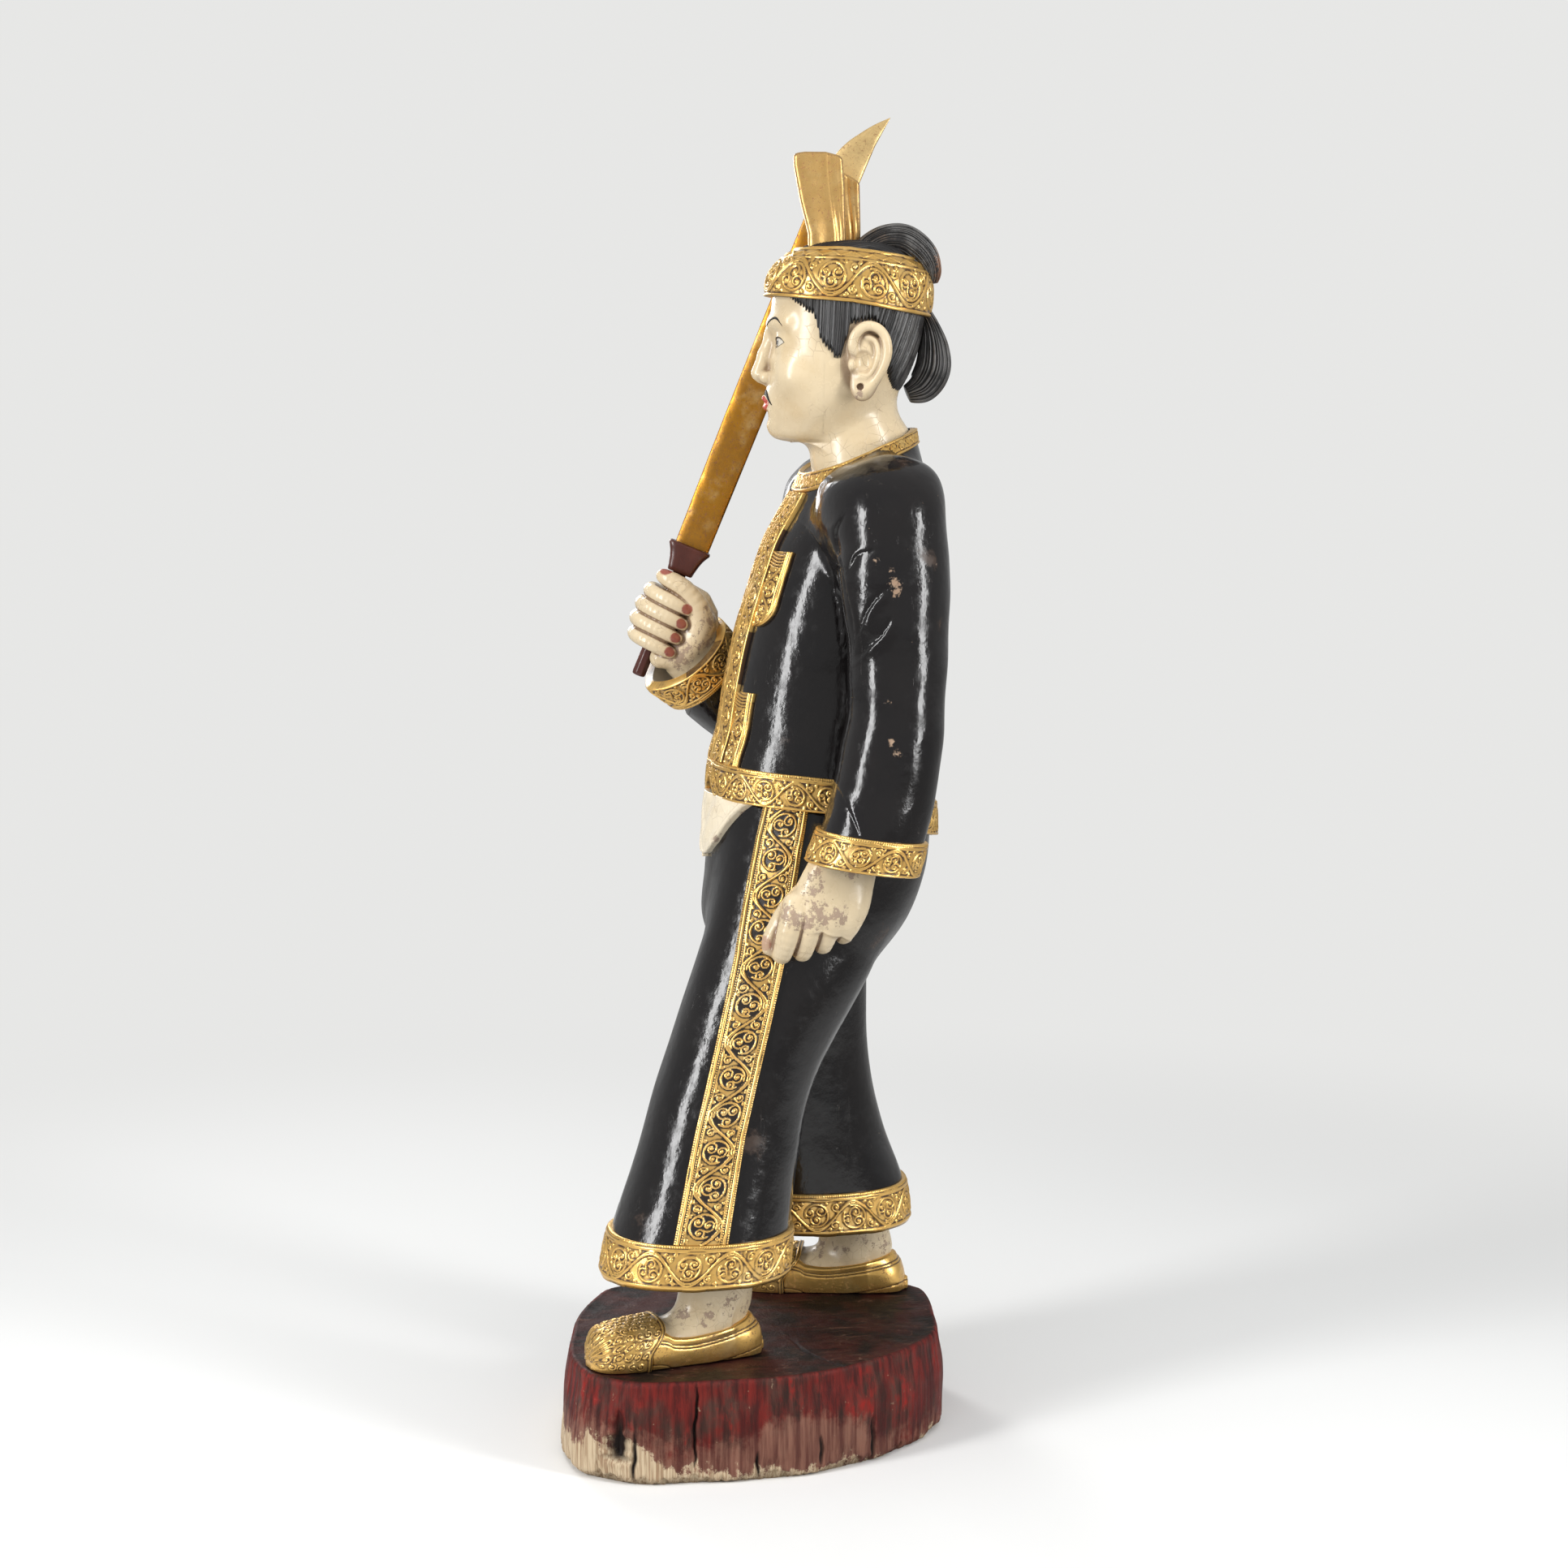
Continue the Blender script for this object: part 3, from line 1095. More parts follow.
def sanded(points, faces, share, turns):
    """The mesh with its creases worn down where share is above 0"""
    ends = np.concatenate([faces[:, [i, (i + 1) % 4]] for i in range(4)])
    ends = np.concatenate([ends, ends[:, ::-1]])
    count = np.bincount(ends[:, 0], minlength=len(points))[:, None]
    for _ in range(turns):
        total = [np.bincount(ends[:, 0], points[ends[:, 1], i], len(points)) for i in range(3)]
        points = points + (np.stack(total, -1) / count - points) * (0.5 * share)[:, None]
    return points


JACKET_STEP = 2.1
JACKET_WORN = [
    (120, 150, 1075, 46), (70, 120, 1105, 40), (190, 150, 905, 22), (200, 165, 1000, 26), (160, 110, 700, 40),
    (-120, 150, 1075, 46), (206, 190, 930, 30), (110, 40, 880, 26), (100, 20, 800, 26), (-90, 200, 900, 50),
    (20, 215, 800, 60), (150, 196, 1040, 40)]
JACKET_TORN = [
    (201, 123, 986, 5), (202, 126, 974, 7), (203, 128, 963, 6), (188, 98, 1030, 5), (196, 104, 1008, 4),
    (196, 106, 996, 4), (210, 120, 805, 5), (208, 128, 794, 6), (206, 150, 1040, 7), (205, 160, 1010, 5),
    (-120, 190, 900, 8), (40, 212, 950, 7), (100, 66, 1046, 4), (108, 72, 1052, 4), (206, 118, 848, 4),
    (84, 146, 1100, 5), (98, 160, 1096, 6), (112, 150, 1092, 4), (72, 168, 1098, 4)]
JACKET_PARTS = ("jacket", "left_sleeve", "right_sleeve")


def yoke(points):
    """Share of the round shoulders at each point, from 0 to 1"""
    aside = np.abs(points[:, 0] - CX)
    share = smooth((neck_line(points[:, 1]) - 20 - points[:, 2]) / 20) * smooth((aside - 40) / 15)
    return np.maximum(share, smooth((aside - 92) / 16)) * smooth((points[:, 2] - FLOOR - 885) / 30)


def make_jacket():
    """One surface, cut into body and sleeves at the seams below the armpits"""
    low, high = (-236, -40, FLOOR + 545), (218, 216, FLOOR + 1024)
    points, faces, normals = mesh_field(jacket, low, high, JACKET_STEP)
    points = sanded(points, faces, yoke(points), 110)
    x, y, z = points.T
    fields = [torso.field(z, x, y), left_sleeve.field(z, x, y), right_near(x, y, z)]
    part = np.argmin(fields, 0)
    nearest, second = np.sort(fields, 0)[:2]
    seam = smooth(1 - (second - nearest) / 3.0) * smooth((FLOOR + 880 - z) / 30)
    points = points - normals * (1.1 * seam + carved_folds(y, z))[:, None]
    worn = np.maximum(spot(points, JACKET_WORN), 0.7 * seam)
    bare = 0.8 * spot(points, JACKET_TORN)
    votes = part[faces]
    whose = np.where((votes == 0).sum(1) >= 2, 0, np.where((votes == 1).sum(1) >= 2, 1, 2))
    for k, node in enumerate(JACKET_PARTS):
        used, kept = np.unique(faces[whose == k], return_inverse=True)
        piece(f"{node}_skin", points[used], kept.reshape(-1, 4), LACQUER, "black_lacquer", nodes=[node],
              worn=worn[used], bare=bare[used])


make_jacket()

# Gilt bands of the jacket's hem, the collar and the left cuff
jacket_ornament = trim((3.0, -7.6, 36, 1.05, 1.7), [(1.4, 1.3, 1.5), (-6.3, 0.9, 1.4), (-4.3, 1.0, 1.6)],
                       [(-1.7, 2.5, 1.15, 1.2)])
collar_ornament = trim((3.4, -3.4, 14, 0.95, 1.3), [(1.2, 1.1, 1.4), (-1.2, 1.2, 1.4)])
cuff_ornament = trim((3.0, -7.2, 35, 1.05, 1.7), [(1.4, 1.4, 1.6), (-5.8, 1.0, 1.5), (-3.9, 0.9, 1.4)],
                     [(-1.6, 2.4, 1.1, 1.2)])
COLLAR_TALL = 17
CUFF_TALL = 37


def make_jacket_hem():
    """Its lower edge rises at the fronts' corners and its upper edge runs level"""
    base, normal, sheet = hoop(torso, hem_line, 38, 0.9, 21, jacket_ornament)
    x, y, z = base[..., 0], base[..., 1], base[..., 2]
    z = z + (front_corner(x[0]) * (y[0] < 20))[None] * (1 - np.linspace(0, 1, sheet.m))[:, None]
    base = np.stack([x, y, z], -1) - normal * torso.field(z, x, y)[..., None]
    band("jacket_hem_gilding", "jacket_hem_band", base, normal, sheet, thick=3.8, hollow=0.85, rim=3.0)


make_jacket_hem()
wrapped = hoop(torso, lambda y: neck_line(y) - COLLAR_TALL, COLLAR_TALL, 0.8, 23, collar_ornament)
band("collar_gilding", "collar_band", *wrapped, thick=3.0, hollow=0.85, rim=4.0)
wrapped = hoop(left_sleeve, cuff_line, CUFF_TALL, 0.8, 25, cuff_ornament)
band("left_cuff_gilding", "left_cuff", *wrapped, thick=3.8, hollow=0.85, rim=7.0)

# Right cuff and its lining, along the last stretch of the bent arm
CORNER_AT = -1.35
CORNER_OUT = 7
ARM_RUN = running(right_arm.rows[:, :3])


def arm_place(back):
    """Row number on the arm at a distance back from the cuff's mouth"""
    return np.interp(ARM_RUN[-1] - np.maximum(back, 0), ARM_RUN, np.arange(float(len(ARM_RUN))))


def corner(angles):
    """The cuff's pointed lower corner, 1 at its tip"""
    gap = np.abs((angles - CORNER_AT + np.pi) % (2 * np.pi) - np.pi)
    return np.exp(-((gap / 0.45) ** 1.3))


def arm_ring(back, angles, grow=0.0):
    """The arm's ring at a distance back from the cuff's mouth, drawn out at the corner"""
    grow = grow + 9 * corner(angles) * np.clip(1 - back / 46, 0, 1)
    return right_arm.ring(arm_place(back), angles, grow) + MOUTH_WAY * np.maximum(-back, 0)[..., None]


def make_right_cuff():

    def middle(t):
        return arm_ring(18 + 0 * t, t)

    _, length = even_angles(middle, 10)
    sheet = Sheet(length, CUFF_TALL, 0.8, 31, loop=True)
    cuff_ornament(sheet)
    angles, _ = even_angles(middle, sheet.n)
    back = np.linspace(0, CUFF_TALL, sheet.m)[:, None]
    back = back - np.linspace(CORNER_OUT, 0, sheet.m)[:, None] * corner(angles)[None]
    base = arm_ring(back, angles[None] + 0 * back)
    normal = unit(arm_ring(back, angles[None] + 0 * back, 2.0) - base)
    band("right_cuff_gilding", "right_cuff", base, normal, sheet, thick=3.8, hollow=0.85, rim=7.0)


make_right_cuff()

# How deep each ring of the lining lies in the cuff, and how much wider than the arm it is
LINING_RINGS = [(0.5, -6.6), (8.0, -7.0), (16.0, -7.2), (22.0, -8.5), (23.5, -16.0), (23.8, -30.0),
                (23.9, -43.0)]


def make_right_lining():
    count = 120
    angles = np.linspace(0, 2 * np.pi, count, endpoint=False)
    rings = np.stack([arm_ring(deep - CORNER_OUT * corner(angles) * (1 - deep / 24), angles, grow)
                      for deep, grow in LINING_RINGS])
    piece("right_lining_skin", rings, grid_faces(len(rings), count, True)[:, ::-1], LINING, "pale_lining",
          nodes=["right_sleeve_lining"])


make_right_lining()


# Gilt bands down the jacket's front, and the frogs beside them
def front_patch(side, kind, x_at, low, high, wide, draw, seed, thick):
    """A patch from low to high, with its x between the edges given by x_at(share, height)"""
    sheet = Sheet(high - low, wide, 0.85, seed)
    draw(sheet)
    z = FLOOR + np.linspace(low, high, sheet.n)[None] + np.zeros((sheet.m, 1))
    x = x_at(np.linspace(0, 1, sheet.m)[:, None], z - FLOOR)
    start = np.stack([x, np.full_like(x, -120.0), z], -1)
    base, normal = land(lambda a, b, c: torso.field(c, a, b), start, np.array([0.0, 1.0, 0.0]), 240)
    node = f"{side}_{kind}"
    band(f"{node.removesuffix('_band')}_gilding", node, base, normal, sheet, thick, hollow=0.9)


strip_ornament = trim(
    (6.5, -8.5, 34, 1.2, 2.1, 0.5), [(1.3, 1.3, 2.0), (-1.3, 1.3, 2.0), (4.4, 1.0, 1.5), (-7.0, 0.9, 1.4)],
    [(-4.2, 2.7, 1.2, 1.6)])


def frog_ornament(sheet):
    """A scroll field that ends in five bowed wires, with three wires along its outer edge"""
    w, top = sheet.width, sheet.length
    sheet.vine(2.5, w - 9.0, 27, 2.1, 1.15, 0.5)
    sheet.h[:, int((top - 16) / sheet.du):] = 0
    for v in (1.4, 4.6, 7.6):
        sheet.line(w - v, 1.2, 2.0)
    for back in (1.4, 4.8, 8.2, 11.6, 15.0):
        v = np.linspace(0, w - 7.5, 90)
        sheet.stamp(np.clip(top - back - 3.5 * np.sin(np.pi * v / w), 0, top), v, 1.2, 1.9)


STRIP_WIDE = 42.6
FROG_INNER = 43.3
UPPER_FROG = (803, 885, 35)
LOWER_FROG = (650, 731, 30)


def strip_edge(share, z):
    return 0.2 + STRIP_WIDE * share + 0 * z


def upper_frog_edge(share, z):
    """The upper frog's outer edge is rounded at its foot"""
    foot, _, wide = UPPER_FROG
    curve = 26
    drop = np.clip((foot + curve - z) / curve, 0, 1)
    reach = wide - curve * (1 - np.sqrt(np.maximum(1 - drop**2, 0.0)))
    return FROG_INNER + share * np.maximum(reach, 3)


def lower_frog_edge(share, z):
    return FROG_INNER + share * (LOWER_FROG[2] + 0 * z)


def make_fronts(side, sign):

    def mirrored(edge):
        return lambda share, z: CX + sign * edge(share, z)

    front_patch(side, "front_band", mirrored(strip_edge), 651.6, 947.5, 43, strip_ornament, 40 + sign, 3.2)
    front_patch(side, "upper_frog", mirrored(upper_frog_edge), *UPPER_FROG, frog_ornament, 44 + sign, 2.2)
    front_patch(side, "lower_frog", mirrored(lower_frog_edge), *LOWER_FROG, frog_ornament, 48 + sign, 2.2)


make_fronts("left", 1)
make_fronts("right", -1)

# World and floor, both pale to the camera and dimmer as light
PALE = (0.80, 0.80, 0.79, 1)
SKY = (0.86, 0.88, 0.90, 1)
SKY_STRENGTH = 0.30
MIRRORED = 0.45
FLOOR_HALF = 9


def make_world():
    world = bpy.data.worlds.new("studio")
    bpy.context.scene.world = world
    sky = Nodes(world)
    rays = sky.node("ShaderNodeLightPath").outputs
    seen, lit = sky.node("ShaderNodeBackground"), sky.node("ShaderNodeBackground")
    for background, colour, strength in ((seen, PALE, 1.0), (lit, SKY, SKY_STRENGTH)):
        sky.feed(background, "Color", colour)
        sky.feed(background, "Strength", strength)
    mirrored = sky.math("MULTIPLY_ADD", rays["Is Glossy Ray"], MIRRORED, rays["Is Transmission Ray"])
    joined = sky.node("ShaderNodeMixShader")
    sky.feed(joined, 0, sky.math("MAXIMUM", rays["Is Camera Ray"], mirrored))
    sky.feed(joined, 1, lit.outputs[0])
    sky.feed(joined, 2, seen.outputs[0])
    sky.feed(sky.node("ShaderNodeOutputWorld"), 0, joined.outputs[0])


def make_floor():
    mesh = bpy.data.meshes.new("floor")
    corners = [(-1, -1), (1, -1), (1, 1), (-1, 1)]
    mesh.from_pydata([(x * FLOOR_HALF, y * FLOOR_HALF, 0) for x, y in corners], [], [(0, 1, 2, 3)])
    floor = bpy.data.objects.new("floor", mesh)
    bpy.context.scene.collection.objects.link(floor)
    paint = Paint("floor_paint")
    away = paint.node("ShaderNodeVectorMath", operation="LENGTH")
    paint.feed(away, 0, paint.place)
    far = paint.ramp(away.outputs["Value"], 0.7, 2.4)
    rays = paint.node("ShaderNodeLightPath").outputs
    shown = paint.math("MAXIMUM", rays["Is Camera Ray"], rays["Is Transmission Ray"])
    shown = paint.math("MAXIMUM", shown, paint.times(rays["Is Glossy Ray"], MIRRORED))
    ground = paint.mix(far, PALE[:3], (0.0, 0.0, 0.0))
    ground = paint.mix(rays["Is Diffuse Ray"], ground, (0.5, 0.5, 0.5))
    mesh.materials.append(paint.finish(
        Base_Color=ground, Roughness=0.95, Specular_IOR_Level=0.0, Emission_Color=PALE,
        Emission_Strength=paint.times(far, shown)))


make_world()
make_floor()


def creases(field, points, normals, reach=4.0):
    """How deep each point lies in a hollow of its form, from 0 to 1"""
    p = points + normals * reach
    return np.clip((reach - field(*p.T)) / (0.55 * reach), 0, 1)


# Plinth, a slice of log: its outline, and the middle that its top closes on
PLINTH = [
    [193, -86], [194, -40], [193, 4], [181, 50], [165, 90], [121, 153], [52, 209], [-41, 226],
    [-112, 232], [-139, 223], [-167, 202], [-191, 156], [-208, 98], [-223, 40], [-226, -10],
    [-210, -65], [-192, -130], [-151, -158], [-78, -187], [-10, -199], [65, -210], [135, -201],
    [170, -175], [189, -139]]
HEART = (-12.0, 8.0)
LOG_COLUMNS = 880
LOG_ROWS = 46
# How far inwards each ring of the top lies
SHRINK = np.concatenate([[0.985, 0.97], np.linspace(0.94, 0.02, 46)])
# Ridges of the grain: width and height
GRAIN = ((13.0, 0.40), (7.5, 0.35), (4.4, 0.30))
# Cracks and the rotten notch: x, y where they stand, low and high end, width, depth
CRACKS = [(193, -86, 14, 111, 1.7, 7), (176, -165, 30, 82, 10.5, 14), (196, -20, 0, 34, 1.6, 5),
          (150, 110, 0, 52, 2.4, 5), (186, -150, 0, 60, 2.2, 5), (-150, 210, 10, 90, 2.6, 6),
          (-220, 0, 0, 70, 2.6, 6), (-120, -172, 30, 113, 2.4, 6), (60, -208, 0, 60, 2.2, 5),
          (20, 216, 0, 80, 2.4, 5), (181, 50, 8, 44, 2.0, 4)]
NOTCH_WIDE = 5


def log_outline():
    """Points evenly spaced round the log: x, y, the way along the outline, and its whole length"""
    closed = np.array(PLINTH[-1:] + PLINTH + PLINTH[:2], float)
    edge = flow(closed, 40)[40:-40]
    run = running(edge)
    u = np.arange(LOG_COLUMNS) / LOG_COLUMNS * run[-1]
    return np.interp(u, run, edge[:, 0]), np.interp(u, run, edge[:, 1]), u, run[-1]


def log_grain(px, py, pz, u, around):
    """Unevenness and ridges up the log's side"""
    push = 1.1 * ripple(px, py, pz, 75, 21)
    for size, tall in GRAIN:
        drift = 1.4 * ripple(px, py, pz * 0.35, 60, int(size * 10))
        share = 0.5 + 0.5 * ripple(px, py, pz * 0.4, 50, 33)
        push = push + tall * np.sin(u[None] * 2 * np.pi / around * round(around / size) + drift) * share
    return push


def cracked(push, x, y, u, around, zs):
    """The push outwards with the cracks and the notch cut in, and a mark for their dark ground"""
    mark = np.zeros_like(push)
    for cx, cy, z0, z1, wide, deep in CRACKS:
        near = np.argmin((x - cx) ** 2 + (y - cy) ** 2)
        aside = (u - u[near] + around / 2) % around - around / 2
        sway = 0.8 * np.sin(zs / 9.0 + cx) + 0.5 * np.sin(zs / 3.7)
        mid, half = 0.5 * (z0 + z1), 0.5 * (z1 - z0)
        ends = np.sqrt(np.clip(1 - ((zs - mid) / half) ** 2, 0, 1))
        w = wide * (0.30 + 0.70 * ends)
        if wide > NOTCH_WIDE:
            rise = np.clip((zs - z0) / (z1 - z0), -1, 1)
            ends = smooth(rise * 3 + 0.6) * np.sqrt(1 - np.clip(rise, 0, 1))
            w = wide * (1.15 - 0.75 * rise) * (1 + 0.22 * np.sin(zs / 3.3 + cx) + 0.16 * np.sin(zs / 1.9))
        cut = np.exp(-(((aside[None] - sway[:, None]) / w[:, None]) ** 2)) * ends[:, None]
        push = push - deep * cut
        mark = np.maximum(mark, np.clip(1.5 * cut, 0, 1))
    return push, mark


def log_side():
    """Points of the side from the foot up, and the mark for its cracks"""
    x, y, u, around = log_outline()
    zs = np.linspace(0, 1, LOG_ROWS) * FLOOR
    factor = np.interp(zs, [0, 6, 0.5 * FLOOR, FLOOR - 4, FLOOR], [0.985, 1.012, 1.012, 1.0, 0.988])
    out = 3.0 * (smooth((FLOOR - 6 - zs) / 40) * (zs > 2))[:, None] / np.hypot(x, y)[None]
    ahead = np.where(y < 0, -y / 210 * 5, 0)[None] * (1 - zs / FLOOR)[:, None]
    px = x[None] * (factor[:, None] + out)
    py = y[None] * (factor[:, None] + out) - ahead
    pz = zs[:, None] + 0 * px
    push = log_grain(px, py, pz, u, around)
    # The foot is eaten away unevenly
    wear = 0.5 + 0.5 * ripple(px, py, 0 * pz, 70, 41)
    jag = np.abs(ripple(px, py, 0 * pz, 17, 42)) + 0.6 * np.abs(ripple(px, py, 0 * pz, 9, 43))
    eaten = np.clip(wear * 9 + jag * 5 - 4, 0, 15)
    low = np.clip(1 - zs / 30.0, 0, 1)[:, None]
    pz = np.where(zs[:, None] > 0.5, pz + eaten * low * 0.9, pz)
    push = push - eaten * 0.42 * np.clip(1 - zs / 26.0, 0, 1)[:, None] ** 0.8
    push, crack = cracked(push, x, y, u, around, zs)
    nx, ny = np.gradient(y), -np.gradient(x)
    size = np.hypot(nx, ny)
    return np.stack([px + (nx / size)[None] * push, py + (ny / size)[None] * push, pz], -1), crack


def log_top(rim):
    """Points of the top from its rim inwards, with adze marks, and the mark for its split and peg hole"""
    mx, my = HEART
    tx = mx + (rim[:, 0] - mx)[None] * SHRINK[:, None]
    ty = my + (rim[:, 1] - my)[None] * SHRINK[:, None]
    marks = np.abs(np.sin(tx / 17 + 0.6 * np.sin(ty / 31))) * 0.7 + 0.5 * ripple(tx, ty, 0 * tx, 26, 61)
    fade = smooth(np.minimum(1, (1 - SHRINK) / 0.04))[:, None]
    tz = FLOOR + fade * (-0.5 + np.clip(marks - 0.9, -1.2, 0.35))
    split = np.exp(-(((ty - 20 - 0.35 * tx - 5 * np.sin(tx / 23)) / 1.8) ** 2)) * smooth((tx - 40) / 60)
    peg = smooth(1.5 - np.hypot(tx + 87, ty + 56) / 3.5)
    return np.stack([tx, ty, tz - 3 * split * fade - 5 * peg], -1), np.maximum(split, peg)


def make_plinth():
    """The whole log: middle of the underside, its rim, the side, the top and the top's middle"""
    side, crack = log_side()
    top, dark = log_top(side[-1])
    foot = side[:1] * (0.97, 0.97, 0)
    under, over = (np.tile([[[*HEART, z]]], (1, LOG_COLUMNS, 1)) for z in (0.0, FLOOR - 0.6))
    points = np.concatenate([under, foot, side, top, over])

    def padded(under, mark, over):
        """A mark of the side, with one value below it and one above it"""
        below, above = np.full((2, LOG_COLUMNS), under), np.full((len(SHRINK) + 1, LOG_COLUMNS), over)
        return np.concatenate([below, mark, above])

    px, py, pz = side[..., 0], side[..., 1], side[..., 2]
    line = 17 + 8 * ripple(px, py, 0 * px, 60, 51)
    line = line + 34 * smooth((-60 - py) / 110) - 11 * smooth((py - 60) / 80)
    faded = 0.62 * np.exp(-(((py - 30) / 74) ** 2)) * smooth((112 - pz) / 60)
    topside = np.zeros_like(px)
    topside[-1] = 0.5
    gouge = np.concatenate([np.zeros((2, LOG_COLUMNS)), crack, dark, np.zeros((1, LOG_COLUMNS))])
    piece("plinth_log", points, grid_faces(len(points), LOG_COLUMNS, True), RED_WOOD, "red_wood",
          nodes=["plinth"], bare=padded(0.0, 0.56 + (line - pz) / 75, 0.0), worn=padded(0.0, faded, 0.0),
          top=padded(0.0, topside, 1.0), crack=np.clip(gouge, 0, 1))


make_plinth()

# Feet and slippers. A foot's own axes: p from heel to toe, q to the left, z up from the plinth.
FOOT = 197.0
SEAM = 0.7 * FOOT
# Rows of p, half width, height; for the ankle z, p, half width, half length; for the rim p, z
SHOE = [[-3, 6, 14], [0, 14, 26], [6, 24, 37], [22, 31, 43], [55, 34, 47], [93, 37, 49], [130, 40, 48],
        [158, 40.5, 45], [181, 35, 41], [192, 25, 34], [197, 13, 25], [199, 6, 16]]
INSTEP = [[48, 28, 64], [70, 29, 58], [93, 30, 48], [121, 30, 38], [149, 25, 30]]
ANKLE = [[8, 68, 24, 34], [28, 62, 27, 42], [45, 57, 30, 44], [62, 52, 32, 43], [92, 50, 33, 41],
         [128, 48, 32, 40]]
RIM = flow([[-20, 46], [8, 44], [46, 36], [85, 31], [111, 33], [SEAM, 41], [260, 44]], 12)
# Heel and toe on the plinth, and how far the ankle leans forward
FEET = {"left": ((80.9, -2.1), (123.1, -194.4), -0.05), "right": ((-130, 209), (-180, 19), 0.3)}
shoe = Loft([[p, 0, h * 0.4, w, h * 0.6] for p, w, h in SHOE], square=2.6)
instep = Loft([[p, 0, h * 0.45, w, h * 0.55] for p, w, h in INSTEP], square=2.1)
FOOT_WORN = [(20, 20, 60, 14), (45, 26, 66, 16), (96, 16, 50, 14), (70, 26, 52, 14), (30, -20, 80, 16),
             (76, -20, 56, 16)]
SLIPPER_LINES = (6.5, 10.0, 34.0)


def make_foot(side):
    """Foot, slipper and toe cap of one side"""
    heel, toe, lean = (np.array(v, float) for v in FEET[side])
    ahead = unit(toe - heel)
    out = np.array([-ahead[1], ahead[0]])
    ankle = Loft([[z, p + lean * max(0, z - 45), 0, l, w] for z, p, w, l in ANKLE], square=2.0)

    def world(points):
        flat = heel + points[:, :1] * ahead + points[:, 1:2] * out
        return np.concatenate([flat, points[:, 2:] + FLOOR], 1)

    def foot(p, q, z):
        body = blend(ankle.field(z, p, q), instep.field(p, q, z), 16)
        body = blend(body, shoe.field(p, q, z, -4.5), 10)
        for bone in (27, -27):
            body = blend(body, ball(p, q, z, (58, bone, 44), 9, 6, 9), 10)
        return np.maximum(np.maximum(body, 2 - z), p - SEAM)

    def slipper(p, q, z):
        under_rim = z - between(p, RIM)
        skin = blend(shoe.field(p, q, z), foot(p, q, z) - 2.6, 9)
        roll = np.sqrt((skin + 2.4) ** 2 + (under_rim + 1.2) ** 2) - 2.9
        body = blend(both(skin, under_rim, 2.5), roll, 1.5)
        body = np.maximum(body, -foot(p, q, z) - 3)
        return np.maximum(np.maximum(body, 0.4 - z), p - SEAM)

    points, faces, normals = mesh_field(foot, (-2, -44, 0), (SEAM, 44, 128), 1.6)
    dirt = np.maximum(creases(foot, points, normals, 6), 0.75 * smooth((points[:, 0] - SEAM + 26) / 22))
    dirt = np.maximum(dirt, 0.12 + smooth((52 - points[:, 2]) / 30) * 0.36)
    piece(f"{side}_foot_skin", world(points), faces, CREAM, "cream_lacquer", nodes=[f"{side}_foot"],
          cavity=dirt, worn=0.5 * spot(points, FOOT_WORN))
    points, faces, normals = mesh_field(slipper, (-4, -44, 0), (SEAM, 44, 52), 1.1)
    drop = between(points[:, 0], RIM) - points[:, 2]
    lines = sum(np.exp(-(((drop - line) / 0.9) ** 2)) for line in SLIPPER_LINES)
    points = points - normals * (0.9 * lines)[:, None]
    dents = smooth((0.5 - ripple(*points.T, 30, 5)) * 2)
    piece(f"{side}_slipper_skin", world(points), faces, GILT, "gilding", nodes=[f"{side}_slipper"],
          cavity=np.maximum(lines * 0.75, smooth((4 - points[:, 2]) / 5)), worn=0.6 * dents)
    make_toe_cap(side, world)


def cap_back(z):
    """Where the toe cap's back edge lies at each height"""
    return SEAM + 0.3 - 20 * smooth((z - 14) / 34)


def toe_cap(p, q, z):
    return both(np.maximum(shoe.field(p, q, z, 2.5), 0.4 - z), cap_back(z) - p, 2.5)


def toe_curls():
    """Rows of small curls, with two wires at the sheet's near end"""
    sheet = Sheet(90, 150, 0.6, 60)
    pick = sheet.rng.uniform
    for i, v in enumerate(np.arange(7, 148, 10.2)):
        for u in np.arange(9.5 + 5 * (i % 2), 84, 10.4):
            start = pick(0, ROUND)
            hand = 1 if (i + int(u)) % 2 else -1
            sheet.curl(u + pick(-1, 1), v + pick(-1, 1), pick(4.2, 5.0), start, 1.2, hand, 0.95, 1.15)
    for u in (1.4, 4.4):
        sheet.stamp(np.full(320, u), np.linspace(0, 150, 320), 1.1, 1.7)
    return sheet


def make_toe_cap(side, world):
    points, faces, normals = mesh_field(toe_cap, (SEAM - 24, -46, 0), (204, 46, 54), 0.85)
    sheet = toe_curls()
    u = points[:, 0] - cap_back(points[:, 2])
    v = 75 + 40 * np.arctan2(points[:, 1], points[:, 2] - 10)
    iu, iv = np.clip(u / sheet.du, 0, sheet.n - 1.01), np.clip(v / sheet.dv, 0, sheet.m - 1.01)
    a, b = iu.astype(int), iv.astype(int)
    fu, fv = iu - a, iv - b

    def laid(table):
        """The sheet's values at the cap's points"""
        near = table[b, a] * (1 - fu) + table[b, a + 1] * fu
        far = table[b + 1, a] * (1 - fu) + table[b + 1, a + 1] * fu
        return near * (1 - fv) + far * fv

    points = points + normals * (laid(sheet.h) * smooth((u - 0.6) / 1.5) - 0.4)[:, None]
    piece(f"{side}_toe_cap_skin", world(points), faces, GILT, "gilding", nodes=[f"{side}_toe_cap"],
          cavity=np.clip(laid(sheet.hollows()) + 0.15, 0, 1))


for side in FEET:
    make_foot(side)

# Left hand, hanging
LX = CX + 178


def up(rows):
    """Rows of x, y, z with their heights counted from the plinth's top"""
    return [[x, y, z + FLOOR, *rest] for x, y, z, *rest in rows]


